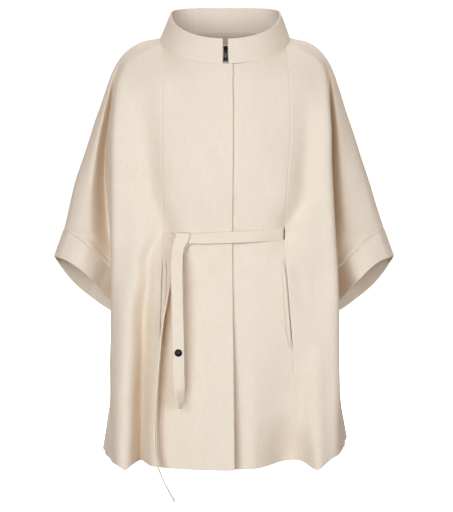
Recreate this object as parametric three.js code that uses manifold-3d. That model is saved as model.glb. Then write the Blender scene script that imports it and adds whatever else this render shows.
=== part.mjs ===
// A belted cape in doubled cashmere, hollow and in its worn shape.
// Millimetres, +Z up. The front faces -Y and the wearer's left is +X.
// The origin is the middle of the neck base, at the height of the shoulders' inner ends.
import * as THREE from "three";
import Module from "manifold-3d";

const wasm = await Module();
wasm.setup();
const V3 = (x, y, z) => new THREE.Vector3(x, y, z);
const { lerp, clamp, degToRad } = THREE.MathUtils;

// Cloth, seams and trim
const CLOTH = 2.8; // thickness of the doubled cloth
const GAP = 0.3; // free space left along every seam
const COLLAR_WALL = 4.0; // the collar is two plies, turned at the rim
const FLAP_EDGE = 15; // the closure's flap reaches this far past centre front
const UNDER_EDGE = 4; // edge of the front that runs under the flap
const UNDER_DEPTH = CLOTH + GAP + 0.1; // how far that front lies behind the flap
const FLAP_LIFT = 7; // how far the flap stands off at the hem
const NECK_SPREAD = 0.25; // the lines spread apart by this share at the neck
const CUFF_BAND = 56; // width of the sleeve band
const ARM = V3(0.34, 0, -0.94).normalize(); // the way the upper arm hangs
const STRAP = { width: 22, thick: 3.2 };
const SLOT = { x: 112, left: -375, right: -379 }; // where the belt comes out, each side
const POCKET = { top: -424, bottom: -586, welt: 7, thick: 1.6, slit: 1.4, above: 20, below: 60,
  columns: 5 };
const ZIP = { x: 1.2, tape: 12, thick: 1, apart: 1.8, below: 0.25, bottom: -782 };
const SLIDER = { z: -27, width: 7.6, tall: 11, plate: 1.2, lug: 1, lugAt: 2.9, bar: 0.7, stand: 1.6 };
const PULL = { length: 25, eye: 4.2, eyeRadius: 2, top: 5.4, bottom: 8.4, thick: 1.6, notch: 2.2 };
const STUD = { z: -598, rim: 7, face: 1.8, back: 5.5, backFace: 1.2, post: 2.4 };

// Neck and collar rings: half width, front depth, back depth, heights
const NECK = { half: 124, front: 100, back: 86, side: -4, frontDrop: 51, backRise: 12 };
const RIM = { half: 104.5, front: 88, back: 82, side: 43, frontDrop: 51, backRise: 17, square: 3.2,
  lift: 0.8, shift: 1.3 }; // the rim's back is squarer than the neckline

// Height and depth of the cape at nine levels, from the neck down.
// front: centre front. edge: ridge where the front drape turns back. valley: fold beside the sleeve.
const FRONT = [
  { level: "neck" },
  { level: "shoulder", y: -110, z: -82, edgeX: 146, edgeY: -36, valleyX: 153, valleyY: -22, seamX: 118.5 },
  { level: "point", y: -118, z: -112, edgeX: 186, edgeY: -52, valleyX: 194, valleyY: -30, seamX: 121 },
  { level: "chest", y: -131, z: -190, edgeX: 201, edgeY: -88, valleyX: 208, valleyY: -34, seamX: 123.5 },
  { level: "elbow", y: -140, z: -300, edgeX: 207, edgeY: -102, valleyX: 209, valleyY: -22, seamX: 116 },
  { level: "band", y: -134, z: -395, edgeX: 211, edgeY: -104, valleyX: 206, valleyY: -15, seamX: 111 },
  { level: "underarm", y: -145, z: -500, edgeX: 213, edgeY: -98, valleyX: 203, valleyY: -34, seamX: 119 },
  { level: "thigh", y: -165, z: -655, edgeX: 216, edgeY: -88, valleyX: 218, valleyY: -46, seamX: 132 },
  { level: "hem", y: -181, z: -812, edgeX: 212, edgeY: -88, valleyX: 231, valleyY: -46, seamX: 139 },
];
// out: the line over the arm, then the side seam. sleeve: how far the sleeve stands out each way.
const SIDE = [
  { level: "neck" },
  { level: "shoulder", outX: 164, outY: 0, outZ: -14, sleeveFront: -13, sleeveBack: 14 },
  { level: "point", outX: 196, outY: 0, outZ: -44, sleeveFront: -20, sleeveBack: 26 },
  { level: "chest", outX: 235, outY: 0, outZ: -146, sleeveFront: -44, sleeveBack: 44 },
  { level: "elbow", outX: 276, outY: 0, outZ: -271, sleeveFront: -46, sleeveBack: 50 },
  { level: "band", outX: 310, outY: 4, outZ: -373, sleeveFront: -36, sleeveBack: 46 },
  { level: "underarm", outX: 188, outY: 12, outZ: -486, sleeveFront: -12, sleeveBack: 40 },
  { level: "thigh", outX: 215, outY: 10, outZ: -650, sleeveFront: -18, sleeveBack: 42 },
  { level: "hem", outX: 239, outY: 8, outZ: -782, sleeveFront: -20, sleeveBack: 46 },
];
const BACK = [
  { level: "neck" },
  { level: "shoulder", y: 102, z: -22, edgeX: 136, edgeY: 58, valleyX: 150, valleyY: 32 },
  { level: "point", y: 116, z: -52, edgeX: 168, edgeY: 80, valleyX: 184, valleyY: 54 },
  { level: "chest", y: 129, z: -140, edgeX: 194, edgeY: 88, valleyX: 211, valleyY: 50 },
  { level: "elbow", y: 137, z: -270, edgeX: 201, edgeY: 97, valleyX: 215, valleyY: 42 },
  { level: "band", y: 141, z: -392, edgeX: 204, edgeY: 102, valleyX: 211, valleyY: 38 },
  { level: "underarm", y: 147, z: -508, edgeX: 205, edgeY: 106, valleyX: 206, valleyY: 62 },
  { level: "thigh", y: 163, z: -668, edgeX: 203, edgeY: 112, valleyX: 219, valleyY: 76 },
  { level: "hem", y: 176, z: -826, edgeX: 205, edgeY: 122, valleyX: 230, valleyY: 84 },
];
const BAND = 5; // level of the sleeve opening's top
const UNDERARM = 6; // level of its lower end
const HEM = 8;
const NECK_FRONT_ANGLES = [0, 25, 48, 70, 74, 78, 79.6, 81.5, 84.5, 87.5, 90];
const NECK_BACK_ANGLES = [90, 93, 97, 104, 109, 116, 138, 160, 180];
const ROUND = 2.2; // how late the front turns away towards its ridge
// Share of the way from the centre's height to the outer height, at each line
const FRONT_RISE = [0, 0.1, 0.27, 0.5, 0.7, 0.8, 0.84, 0.88, 0.94, 0.98, 1];
const BACK_RISE = [1, 0.97, 0.92, 0.84, 0.78, 0.68, 0.4, 0.12, 0];
// The front hem stays level and climbs only near the side, the later the higher the number.
const HEM_RISE = { right: 6, left: 2.8 };
// The band's seam bends away from the straight line between its two ends, and the band flares.
const CUFF = {
  front: { bendX: 6, bendZ: 20, flare: V3(0, -14, 11) },
  back: { bendX: 6, bendZ: -15, flare: V3(9, 4, 1) },
};
const SLEEVE_SHARES = [0.42, 0.86]; // where the sleeve's two lines lie between valley and arm
// The wearer's right side differs: the valley beside the sleeve lies further out, the sleeve
// is a little fuller, the princess seam runs straighter and the side hem hangs lower.
const RIGHT_SIDE = {
  valley: [0, 0, 3, 12, 22, 18, 5, 0, 0],
  out: [0, 2, 7, 9, 10, 4, 0, 0, 0],
  seam: [0, -1, -3, -6, 1, 5, 0, -7, -9],
  lower: [0, 0, 0, 0, 0, 0, 0, 0, 22],
};

// Large folds of the front. dy below zero comes forward; drop lowers the hem at a crest.
const FOLDS = [
  { name: "left skirt crest", width: 21, knots: [
    { z: -520, x: 168, dy: 0 }, { z: -680, x: 172, dy: -13 }, { z: -815, x: 174, dy: -30 }], drop: 15 },
  { name: "left skirt hollow", width: 44, knots: [
    { z: -560, x: 104, dy: 0 }, { z: -700, x: 110, dy: 16 }, { z: -815, x: 116, dy: 44 }], drop: -3 },
  { name: "right skirt crest", width: 22, knots: [
    { z: -350, x: -150, dy: 0 }, { z: -430, x: -161, dy: -12 }, { z: -545, x: -174, dy: -22 },
    { z: -700, x: -179, dy: -27 }, { z: -815, x: -183, dy: -30 }], drop: 7 },
  { name: "right skirt hollow", width: 28, knots: [
    { z: -350, x: -122, dy: 0 }, { z: -430, x: -137, dy: 12 }, { z: -545, x: -142, dy: 18 },
    { z: -700, x: -140, dy: 24 }, { z: -815, x: -136, dy: 34 }], drop: -2 },
  { name: "left chest hollow", width: 24, knots: [
    { z: -85, x: 150, dy: 0 }, { z: -190, x: 155, dy: 11 }, { z: -290, x: 152, dy: 15 },
    { z: -365, x: 122, dy: 10 }, { z: -430, x: 116, dy: 0 }] },
  { name: "right chest hollow", width: 26, knots: [
    { z: -85, x: -160, dy: 0 }, { z: -190, x: -152, dy: 12 }, { z: -290, x: -142, dy: 17 },
    { z: -365, x: -122, dy: 12 }, { z: -430, x: -116, dy: 0 }] },
  { name: "left bust", width: 52, knots: [
    { z: -90, x: 45, dy: 0 }, { z: -230, x: 52, dy: -11 }, { z: -340, x: 40, dy: -4 },
    { z: -420, x: 40, dy: 0 }] },
  { name: "right bust", width: 52, knots: [
    { z: -90, x: -45, dy: 0 }, { z: -230, x: -55, dy: -9 }, { z: -340, x: -45, dy: -4 },
    { z: -420, x: -40, dy: 0 }] },
];
const SLOT_PULL = { depth: 8, reach: 30 }; // the belt draws the cloth in at its slots
const BACK_FLUTES = { depth: 15, pitch: 152, from: -300 };

const ease = (t) => t * t * (3 - 2 * t);
const ramp = (a, b, x) => ease(clamp((x - a) / (b - a), 0, 1));

// Centripetal spline through a list of points, at a fractional index.
function through(list, at) {
  const i = clamp(Math.floor(at), 0, list.length - 2);
  const t = at - i;
  const b = list[i];
  const c = list[i + 1];
  const a = list[i - 1] || b.clone().multiplyScalar(2).sub(c);
  const d = list[i + 2] || c.clone().multiplyScalar(2).sub(b);
  const k1 = Math.max(Math.sqrt(b.distanceTo(c)), 1e-3);
  const k0 = Math.max(Math.sqrt(a.distanceTo(b)), 1e-3);
  const k2 = Math.max(Math.sqrt(c.distanceTo(d)), 1e-3);
  const out = V3(0, 0, 0);
  for (const axis of ["x", "y", "z"]) {
    const m1 = ((b[axis] - a[axis]) / k0 - (c[axis] - a[axis]) / (k0 + k1)
      + (c[axis] - b[axis]) / k1) * k1;
    const m2 = ((c[axis] - b[axis]) / k1 - (d[axis] - b[axis]) / (k1 + k2)
      + (d[axis] - c[axis]) / k2) * k1;
    const e = b[axis] - c[axis];
    out[axis] = b[axis] + m1 * t + (-3 * e - 2 * m1 - m2) * t * t + (2 * e + m1 + m2) * t * t * t;
  }
  return out;
}

function ringPoint(ring, degrees, square = 2) {
  const a = degToRad(degrees);
  const s = Math.sign(Math.sin(a)) * Math.abs(Math.sin(a)) ** (2 / square);
  const c = Math.sign(Math.cos(a)) * Math.abs(Math.cos(a)) ** (2 / square);
  const fall = c > 0 ? -ring.frontDrop * c : ring.backRise * Math.abs(c) ** (ring.lift ?? 1);
  return V3(ring.half * s, c > 0 ? -ring.front * c : -ring.back * c, ring.side + fall);
}

// The eleven front lines at one level of one side: centre, three to the princess seam, then
// the ridge, its flank, the valley, the sleeve and the line over the arm.
function frontLines(side, k) {
  if (k === 0)
    return NECK_FRONT_ANGLES.map((deg) => ringPoint(NECK, deg).multiply(V3(side, 1, 1)));
  const f = FRONT[k];
  const s = SIDE[k];
  const own = (what) => (side < 0 ? RIGHT_SIDE[what][k] : 0);
  const valleyX = f.valleyX + own("valley");
  const outX = s.outX + own("out");
  const seamX = f.seamX + own("seam");
  const face = (x) => [x, f.y + (f.edgeY - f.y) * (x / f.edgeX) ** ROUND];
  const ridgeX = lerp(seamX, f.edgeX, 0.7);
  const plan = [
    [0, f.y], face(seamX / 3), face(seamX * 2 / 3), face(seamX), face(ridgeX),
    [f.edgeX, f.edgeY],
    [lerp(f.edgeX, valleyX, 0.5), lerp(f.edgeY, f.valleyY, 0.5)],
    [valleyX, f.valleyY],
    [lerp(valleyX, outX, SLEEVE_SHARES[0]), s.sleeveFront],
    [lerp(valleyX, outX, SLEEVE_SHARES[1]), lerp(s.outY, s.sleeveFront, 0.58)],
    [outX, s.outY],
  ];
  const power = k !== HEM ? 1 : side < 0 ? HEM_RISE.right : HEM_RISE.left;
  return plan.map(([x, y], i) =>
    V3(side * x, y, lerp(f.z, s.outZ - own("lower"), FRONT_RISE[i] ** power)));
}

function backLines(side, k) {
  if (k === 0)
    return NECK_BACK_ANGLES.map((deg) => ringPoint(NECK, deg).multiply(V3(side, 1, 1)));
  const b = BACK[k];
  const s = SIDE[k];
  const valleyX = b.valleyX;
  const outX = s.outX + (side < 0 ? RIGHT_SIDE.out[k] : 0);
  const outZ = s.outZ - (side < 0 ? RIGHT_SIDE.lower[k] : 0);
  const face = (x) => [x, b.y + (b.edgeY - b.y) * (x / b.edgeX) ** ROUND];
  const plan = [
    [outX, s.outY],
    [lerp(valleyX, outX, SLEEVE_SHARES[1]), lerp(s.outY, s.sleeveBack, 0.58)],
    [lerp(valleyX, outX, SLEEVE_SHARES[0]), s.sleeveBack],
    [valleyX, b.valleyY],
    [lerp(b.edgeX, valleyX, 0.5), lerp(b.edgeY, b.valleyY, 0.5)],
    [b.edgeX, b.edgeY], face(b.edgeX * 0.62), face(b.edgeX * 0.3), [0, b.y],
  ];
  const power = k === HEM ? 2 : 1;
  return plan.map(([x, y], i) => V3(side * x, y, lerp(b.z, outZ, BACK_RISE[i] ** power)));
}

const LEVELS = FRONT.map((_, k) => k);
const column = (lines, side, i) => LEVELS.map((k) => lines(side, k)[i]);
const nets = {};
for (const side of [1, -1])
  nets[side] = {
    front: NECK_FRONT_ANGLES.map((_, i) => column(frontLines, side, i)),
    back: NECK_BACK_ANGLES.map((_, i) => column(backLines, side, i)),
  };

const bulgeAt = (w) => 1 - Math.abs(2 * w - 1) ** 3;

// Depth of the sleeve at a share of the way from valley to arm line: its section just above
// the band, carried on downwards.
function sleeveDepth(side, kind, x, z, valleyY) {
  const line = (i) => nets[side][kind][i][BAND];
  const order = kind === "front" ? [7, 8, 9, 10] : [3, 2, 1, 0];
  const [valley, , , arm] = order.map(line);
  const armX = Math.abs(arm.x) + (ARM.x / -ARM.z) * (arm.z - z);
  const share = clamp((Math.abs(x) - Math.abs(valley.x)) / (armX - Math.abs(valley.x)), 0, 1);
  const at = share < SLEEVE_SHARES[0] ? share / SLEEVE_SHARES[0]
    : share < SLEEVE_SHARES[1] ? 1 + (share - SLEEVE_SHARES[0]) / (SLEEVE_SHARES[1] - SLEEVE_SHARES[0])
      : 2 + (share - SLEEVE_SHARES[1]) / (1 - SLEEVE_SHARES[1]);
  return through(order.map(line), at).y + (valleyY - valley.y) * (1 - share);
}

// Beside the opening the sleeve's cloth ends on the band's seam.
function openSleeve(side, kind, line, w) {
  const [valley, inner, outer, edge] = kind === "front" ? [7, 8, 9, 10] : [3, 2, 1, 0];
  const bend = CUFF[kind];
  const rise = Math.sin(Math.PI * w) ** (kind === "front" ? 1 : 0.7);
  const flatten = ramp(0.4, 1, w);
  line[edge].x += side * bend.bendX * rise;
  line[edge].z += bend.bendZ * rise;
  const depth = (p) => sleeveDepth(side, kind, p.x, p.z, line[valley].y);
  line[edge].y = lerp(depth(line[edge]), line[edge].y, flatten);
  const shares = [SLEEVE_SHARES[0], lerp(SLEEVE_SHARES[1], 0.74, ramp(0, 0.3, w))];
  [inner, outer].forEach((i, k) => {
    const straight = line[valley].clone().lerp(line[edge], shares[k]);
    straight.y = lerp(depth(straight), straight.y, flatten);
    line[i].lerp(straight, ramp(0, 0.12, w) * ramp(1.0, 0.88, w));
  });
}

// The line over the arm ends at the band, and the side seam starts at the underarm.
function outerLine(line, v) {
  if (v <= BAND) return through(line.slice(0, BAND + 1), v);
  if (v >= UNDERARM) return through(line.slice(UNDERARM), v - UNDERARM);
  return line[BAND].clone().lerp(line[UNDERARM], v - BAND);
}

const rows = new Map();
// All control points of one level: the front from arm to arm, the back from arm to arm.
function row(v) {
  const key = v.toFixed(5);
  if (rows.has(key)) return rows.get(key);
  const w = clamp((v - BAND) / (UNDERARM - BAND), 0, 1);
  const open = ramp(0, 0.2, w) * ramp(1, 0.8, w);
  const half = {};
  for (const side of [1, -1]) {
    const front = nets[side].front.map((line, i) => (i < 8 ? through : outerLine)(line, v));
    const back = nets[side].back.map((line, i) => (i > 2 ? through : outerLine)(line, v));
    if (v > BAND && v < UNDERARM) {
      openSleeve(side, "front", front, w);
      openSleeve(side, "back", back, w);
    }
    const past = (edge, inner, other) =>
      other.clone().lerp(edge.clone().multiplyScalar(2).sub(inner), open);
    half[side] = {
      front, back,
      beyondFront: past(front[10], front[9], back[1]),
      beyondBack: past(back[0], back[1], front[9]),
    };
  }
  const minus = half[-1];
  const plus = half[1];
  const made = {
    front: [minus.beyondFront, ...minus.front.slice().reverse(), ...plus.front.slice(1),
      plus.beyondFront],
    back: [plus.beyondBack, ...plus.back, ...minus.back.slice(0, -1).reverse(),
      minus.beyondBack],
  };
  rows.set(key, made);
  return made;
}

function knotAt(knots, z) {
  if (z >= knots[0].z) return knots[0];
  const last = knots[knots.length - 1];
  if (z <= last.z) return last;
  const i = knots.findIndex((k) => z > k.z);
  const t = ease((z - knots[i - 1].z) / (knots[i].z - knots[i - 1].z));
  return { x: lerp(knots[i - 1].x, knots[i].x, t), dy: lerp(knots[i - 1].dy, knots[i].dy, t) };
}

const FRONT_OUT = 10; // u of the line over the arm on the front
const SEAM = 3; // u of the princess seam
const RIDGE = 5;

function frontShift(u, p) {
  const fade = ramp(6.4, 4.4, Math.abs(u));
  if (fade === 0) return V3(0, 0, 0);
  let dy = 0;
  let dz = 0;
  for (const fold of FOLDS) {
    const at = knotAt(fold.knots, p.z);
    const weight = Math.exp(-(((p.x - at.x) / fold.width) ** 2));
    dy += at.dy * weight;
    dz -= (fold.drop || 0) * weight * ramp(-640, -812, p.z);
  }
  for (const [sx, sz] of [[SLOT.x, SLOT.left], [-SLOT.x, SLOT.right]]) {
    const d = Math.hypot(p.x - sx, (p.z - sz) * 0.8) / SLOT_PULL.reach;
    dy += SLOT_PULL.depth * Math.exp(-d * d);
  }
  return V3(0, dy * fade, dz * fade);
}

// Middle surface of the cloth. The front's u runs from -10 to 10, the back's from 0 to 16.
function frontAt(u, v) {
  const p = through(row(v).front, u + FRONT_OUT + 1);
  return p.add(frontShift(u, p));
}

function backAt(u, v) {
  const p = through(row(v).back, u + 1);
  const across = ramp(2.5, 5, Math.min(u, 16 - u));
  const down = ramp(BACK_FLUTES.from, -826, p.z);
  p.y += BACK_FLUTES.depth * across * down * Math.cos((2 * Math.PI * p.x) / BACK_FLUTES.pitch);
  return p;
}

// A point of the cloth and the way out of it.
function facing(at, u, v) {
  const step = 0.02;
  const lowV = Math.max(v - step, 0);
  const highV = Math.min(v + step, HEM);
  const across = at(u + step, v).sub(at(u - step, v));
  const down = at(u, highV).sub(at(u, lowV));
  return { p: at(u, v), n: down.cross(across).normalize() };
}

// The front's own two layers at the closure: the flap stands off at the hem, and the other
// front runs under it.
function fronts(u, v, under) {
  const spread = NECK_SPREAD * ramp(0.8, 0, v) * ramp(1, 0.4, u); // keeps the edges straight
  const f = facing(frontAt, u > 0 ? u * (1 - spread) : u, v);
  const open = ramp(-500, -812, f.p.z);
  if (under) {
    const depth = UNDER_DEPTH + FLAP_LIFT * 0.5 * open;
    f.p.addScaledVector(f.n, -depth * ramp(46, 17, f.p.x));
  } else {
    f.p.addScaledVector(f.n, FLAP_LIFT * 0.5 * open * ramp(-40, 8, f.p.x));
  }
  return f;
}

// A closed wall from a grid of points with their outward directions.
function wallFrom(grid, half, trim = {}, closed = false, inset = GAP / 2) {
  const down = grid.length;
  const across = grid[0].length;
  const pts = grid.map((line) => line.map(({ p }) => p.clone()));
  const pull = (j, i, towardJ, towardI) => {
    const way = grid[towardJ][towardI].p.clone().sub(grid[j][i].p);
    pts[j][i].addScaledVector(way.normalize(), inset);
  };
  for (let j = 0; j < down; j++) {
    if (trim.start) pull(j, 0, j, 1);
    if (trim.end) pull(j, across - 1, j, across - 2);
  }
  for (let i = 0; i < across; i++) {
    if (trim.top) pull(0, i, 1, i);
  }
  const position = [];
  for (const sign of [1, -1])
    for (let j = 0; j < down; j++)
      for (let i = 0; i < across; i++) {
        const q = pts[j][i].clone().addScaledVector(grid[j][i].n, sign * half);
        position.push(q.x, q.y, q.z);
      }
  const outer = (j, i) => j * across + (i % across);
  const inner = (j, i) => down * across + outer(j, i);
  const index = [];
  const quad = (a, b, c, d) => index.push(a, b, c, a, c, d);
  const last = closed ? across : across - 1;
  for (let j = 0; j < down - 1; j++)
    for (let i = 0; i < last; i++) {
      quad(outer(j, i), outer(j + 1, i), outer(j + 1, i + 1), outer(j, i + 1));
      quad(inner(j, i), inner(j, i + 1), inner(j + 1, i + 1), inner(j + 1, i));
    }
  for (let i = 0; i < last; i++) {
    quad(outer(0, i), outer(0, i + 1), inner(0, i + 1), inner(0, i));
    quad(outer(down - 1, i + 1), outer(down - 1, i), inner(down - 1, i), inner(down - 1, i + 1));
  }
  if (!closed)
    for (let j = 0; j < down - 1; j++) {
      quad(outer(j, 0), inner(j, 0), inner(j + 1, 0), outer(j + 1, 0));
      quad(outer(j, across - 1), outer(j + 1, across - 1), inner(j + 1, across - 1),
        inner(j, across - 1));
    }
  const geometry = new THREE.BufferGeometry();
  geometry.setAttribute("position", new THREE.Float32BufferAttribute(position, 3));
  geometry.setIndex(index);
  return geometry;
}

// Steps between whole numbers: count[k] equal steps from k to k + 1.
function steps(from, counts) {
  const out = [from];
  counts.forEach((count, k) => {
    for (let i = 1; i <= count; i++) out.push(from + k + i / count);
  });
  return out;
}

const CUFF_STEPS = [0.12, 0.28, 0.46, 0.64, 0.82, 1];
const DOWN = [...steps(0, [2, 2, 4, 4, 4]), ...CUFF_STEPS.map((w) => BAND + w),
  ...steps(UNDERARM, [4, 4]).slice(1)];
const SIDE_COLUMNS = steps(SEAM, [3, 3, 2, 2, 2, 2, 2]);
const CENTRE_COLUMNS = steps(0, [2, 2, 2]);

function gridOf(columns, at, levels = DOWN) {
  return levels.map((v) => columns.map((u) => at(u, v)));
}

const group = new THREE.Group();
const CASHMERE = { color: 0xe3d6c2, roughness: 0.95 };
const DARK_METAL = { color: 0x2f2c2b, roughness: 0.4, metalness: 0.9 };
const TAPE = { color: 0xcdbfa8, roughness: 0.9 };

function add(name, geometry, look) {
  const mesh = new THREE.Mesh(geometry, new THREE.MeshStandardMaterial(look));
  mesh.name = name;
  group.add(mesh);
  return mesh;
}

function solidOf(geometry) {
  const p = geometry.getAttribute("position");
  const mesh = new wasm.Mesh({
    numProp: 3,
    vertProperties: new Float32Array(p.array),
    triVerts: new Uint32Array(geometry.index.array),
  });
  mesh.merge();
  return new wasm.Manifold(mesh);
}

function geometryOf(solid) {
  const mesh = solid.getMesh();
  const geometry = new THREE.BufferGeometry();
  geometry.setAttribute("position", new THREE.BufferAttribute(mesh.vertProperties, 3));
  geometry.setIndex(new THREE.BufferAttribute(mesh.triVerts, 1));
  return geometry;
}

// A flat band along a path. Each stop has a place, the way across it and the way out of it.
function band(stops, width, thick) {
  const position = [];
  for (const { p, across, out, wide = 1 } of stops) {
    const a = across.clone().setLength((width / 2) * wide);
    const o = out.clone().setLength(thick / 2);
    for (const [sa, so] of [[-1, -1], [1, -1], [1, 1], [-1, 1]]) {
      const q = p.clone().addScaledVector(a, sa).addScaledVector(o, so);
      position.push(q.x, q.y, q.z);
    }
  }
  const index = [0, 1, 2, 0, 2, 3];
  for (let k = 0; k < stops.length - 1; k++)
    for (let c = 0; c < 4; c++) {
      const a = 4 * k + c;
      const b = 4 * k + ((c + 1) % 4);
      index.push(a, a + 4, b + 4, a, b + 4, b);
    }
  const e = 4 * (stops.length - 1);
  index.push(e, e + 2, e + 1, e, e + 3, e + 2);
  const geometry = new THREE.BufferGeometry();
  geometry.setAttribute("position", new THREE.Float32BufferAttribute(position, 3));
  geometry.setIndex(index);
  const solid = solidOf(geometry);
  if (solid.volume() > 0) return solid;
  for (let i = 0; i < index.length; i += 3) [index[i + 1], index[i + 2]] = [index[i + 2], index[i + 1]];
  geometry.setIndex(index);
  return solidOf(geometry);
}

// The place on the front with a given x and z, found by stepping u and v.
function onFront(x, z, off = 0) {
  let u = clamp(x / 40, -4.5, 4.5);
  let v = clamp(-z / 100, 0.2, 7.8);
  for (let i = 0; i < 40; i++) {
    const h = 1e-3;
    const p = frontAt(u, v);
    const pu = frontAt(u + h, v).sub(p).divideScalar(h);
    const pv = frontAt(u, v + h).sub(p).divideScalar(h);
    const dx = x - p.x;
    const dz = z - p.z;
    const det = pu.x * pv.z - pu.z * pv.x;
    if (Math.hypot(dx, dz) < 1e-4 || Math.abs(det) < 1e-9) break;
    u = clamp(u + clamp((dx * pv.z - dz * pv.x) / det, -0.5, 0.5), -5, 5);
    v = clamp(v + clamp((pu.x * dz - pu.z * dx) / det, -0.5, 0.5), 0, HEM - 2 * h);
  }
  const f = facing(frontAt, u, v);
  return { p: f.p.addScaledVector(f.n, off), n: f.n };
}

// Body panels
const HALF = CLOTH / 2;
const frontRightColumns = [...CENTRE_COLUMNS.slice(1).reverse().map((u) => -u), 0,
  (FLAP_EDGE - CLOTH) / 40, FLAP_EDGE / 40];
const frontLeftColumns = [UNDER_EDGE / 40, FLAP_EDGE / 40, 0.75, ...CENTRE_COLUMNS.slice(2)];
const BACK_COLUMNS = [...steps(0, [1, 2, 2, 1, 2, 3, 2, 2]),
  ...steps(8, [2, 2, 3, 2, 1, 2, 2, 1]).slice(1)];
const onSide = (u, v) => facing(frontAt, u, v);
const grids = {
  front_right: gridOf(frontRightColumns, (u, v) => fronts(u, v, false)),
  front_left: gridOf(frontLeftColumns, (u, v) => fronts(u, v, true)),
  side_right: gridOf(SIDE_COLUMNS.map((u) => -u).reverse(), onSide),
  side_left: gridOf(SIDE_COLUMNS, onSide),
  back: gridOf(BACK_COLUMNS, (u, v) => facing(backAt, u, v)),
};
const OPEN_EDGES = { front_right: "end", front_left: "start" };
const trimOf = (name) => ({
  top: true, start: OPEN_EDGES[name] !== "start", end: OPEN_EDGES[name] !== "end" });
const made = {};
const thick = {}; // the same panels with the seam gap added all round, for cutting
for (const [name, grid] of Object.entries(grids)) {
  made[name] = solidOf(wallFrom(grid, HALF, trimOf(name)));
  thick[name] = solidOf(wallFrom(grid, HALF + GAP + 0.05, trimOf(name), false, -0.8 * GAP));
}
const largest = (solid) =>
  solid.decompose().reduce((a, b) => (a.volume() > b.volume() ? a : b));
const clearOf = (solid, names) =>
  largest(names.reduce((left, name) => left.subtract(thick[name]).subtract(made[name]), solid));

// Collar: a ring wall from the neckline to the rim, open at centre front
const COLLAR_END = { right: -3.6, left: 4.8, slant: 3.4 };
function collarRing() {
  const bases = [];
  for (const u of steps(0, [3, 3, 3, 1, 1, 0, 1, 0, 1, 1]).slice(1)) bases.push(frontAt(u, 0));
  for (const u of steps(0, [1, 1, 1, 1, 1, 3, 3, 3]).slice(1)) bases.push(backAt(u, 0));
  const mirrored = bases.slice(0, -1).reverse().map((p) => p.clone().multiply(V3(-1, 1, 1)));
  const end = (x) => frontAt((x / 40) * (x / frontAt(x / 40, 0).x), 0);
  const ring = [end(COLLAR_END.left), ...bases, ...mirrored, end(COLLAR_END.right)];
  return ring.map((base, i) => {
    const depth = base.y < 0 ? NECK.front : NECK.back;
    const degrees = THREE.MathUtils.radToDeg(Math.atan2(Math.abs(base.x) / NECK.half,
      -base.y / depth));
    const rim = ringPoint(RIM, degrees, base.y > 0 ? RIM.square : 2);
    const atEnd = i === 0 || i === ring.length - 1;
    rim.x = atEnd ? base.x : rim.x * Math.sign(base.x) + RIM.shift;
    return { base, rim };
  });
}

function collarGrid() {
  const ring = collarRing();
  const grid = [1, 0.6, 0.25, 0].map((share) => ring.map(({ base, rim }, i) => {
    const p = base.clone().lerp(rim, share);
    if (i === 0) p.x += COLLAR_END.slant * (1 - share);
    return { p };
  }));
  grid.forEach((line, j) => line.forEach((cell, i) => {
    const back = line[Math.max(i - 1, 0)].p;
    const on = line[Math.min(i + 1, line.length - 1)].p;
    const low = grid[Math.min(j + 1, grid.length - 1)][i].p;
    const high = grid[Math.max(j - 1, 0)][i].p;
    cell.n = low.clone().sub(high).cross(on.clone().sub(back)).normalize();
  }));
  return grid;
}
made.collar = clearOf(solidOf(wallFrom(collarGrid(), COLLAR_WALL / 2)), Object.keys(grids));

// Cuffs: a closed band round each sleeve opening, started at its seam
function cuffGrid(side) {
  const ts = CUFF_STEPS.slice(0, -1);
  const mirror = V3(side, 1, 1);
  const pick = (w, kind, at) => ({
    p: row(BAND + w)[kind].at(at),
    way: ARM.clone().multiplyScalar(CUFF_BAND).addScaledVector(CUFF[kind].flare, bulgeAt(w))
      .multiply(mirror),
  });
  const loop = [
    ...[0, ...ts].map((w) => pick(w, "front", side > 0 ? -2 : 1)),
    ...[1, ...ts.slice().reverse()].map((w) => pick(w, "back", side > 0 ? 1 : -2)),
  ];
  const grid = [0, 0.5, 1].map((share) => loop.map(({ p, way }, i) => {
    const a = loop[(i + loop.length - 1) % loop.length].p;
    const b = loop[(i + 1) % loop.length].p;
    const n = way.clone().cross(b.clone().sub(a)).normalize().multiplyScalar(-side);
    return { p: p.clone().addScaledVector(way, share), n };
  }));
  return side > 0 ? grid.map((line) => line.slice().reverse()) : grid;
}
made.cuff_right = clearOf(solidOf(wallFrom(cuffGrid(-1), HALF, {}, true)), ["side_right", "back"]);
made.cuff_left = clearOf(solidOf(wallFrom(cuffGrid(1), HALF, {}, true)), ["side_left", "back"]);

// Belt. Each strap comes out of its slot, and the two are tied in a half knot.
const LAY = HALF + GAP + STRAP.thick / 2 + 0.7; // height of a strap's middle over the cloth's
const PLY = STRAP.thick + GAP + 0.3; // one strap on top of another
const KNOT = { x: -79, z: -382, y: -136.4, fold: -375.4 }; // y of the ply next to the cloth
const ply = (count) => KNOT.y - count * PLY;
const runLeft = [ // from the slot on the wearer's left to the knot
  { x: 123, z: -374, off: -HALF - GAP - 2 },
  { x: 113, z: -374.6, off: -1.2 },
  { x: 103, z: -375.2, off: LAY },
  { x: 60, z: -377.2, off: LAY + 0.5 },
  { x: 15, z: -379, off: LAY + 1.2 },
  { x: -30, z: -380.5, off: LAY + 2 },
  { x: -64, z: KNOT.z - 1, y: ply(1), wide: 0.78 },
  { x: -78, z: KNOT.z - 1.5, y: ply(1), wide: 0.78 },
  { x: -93, z: KNOT.z - 3, y: ply(1), wide: 0.78 },
];
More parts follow.
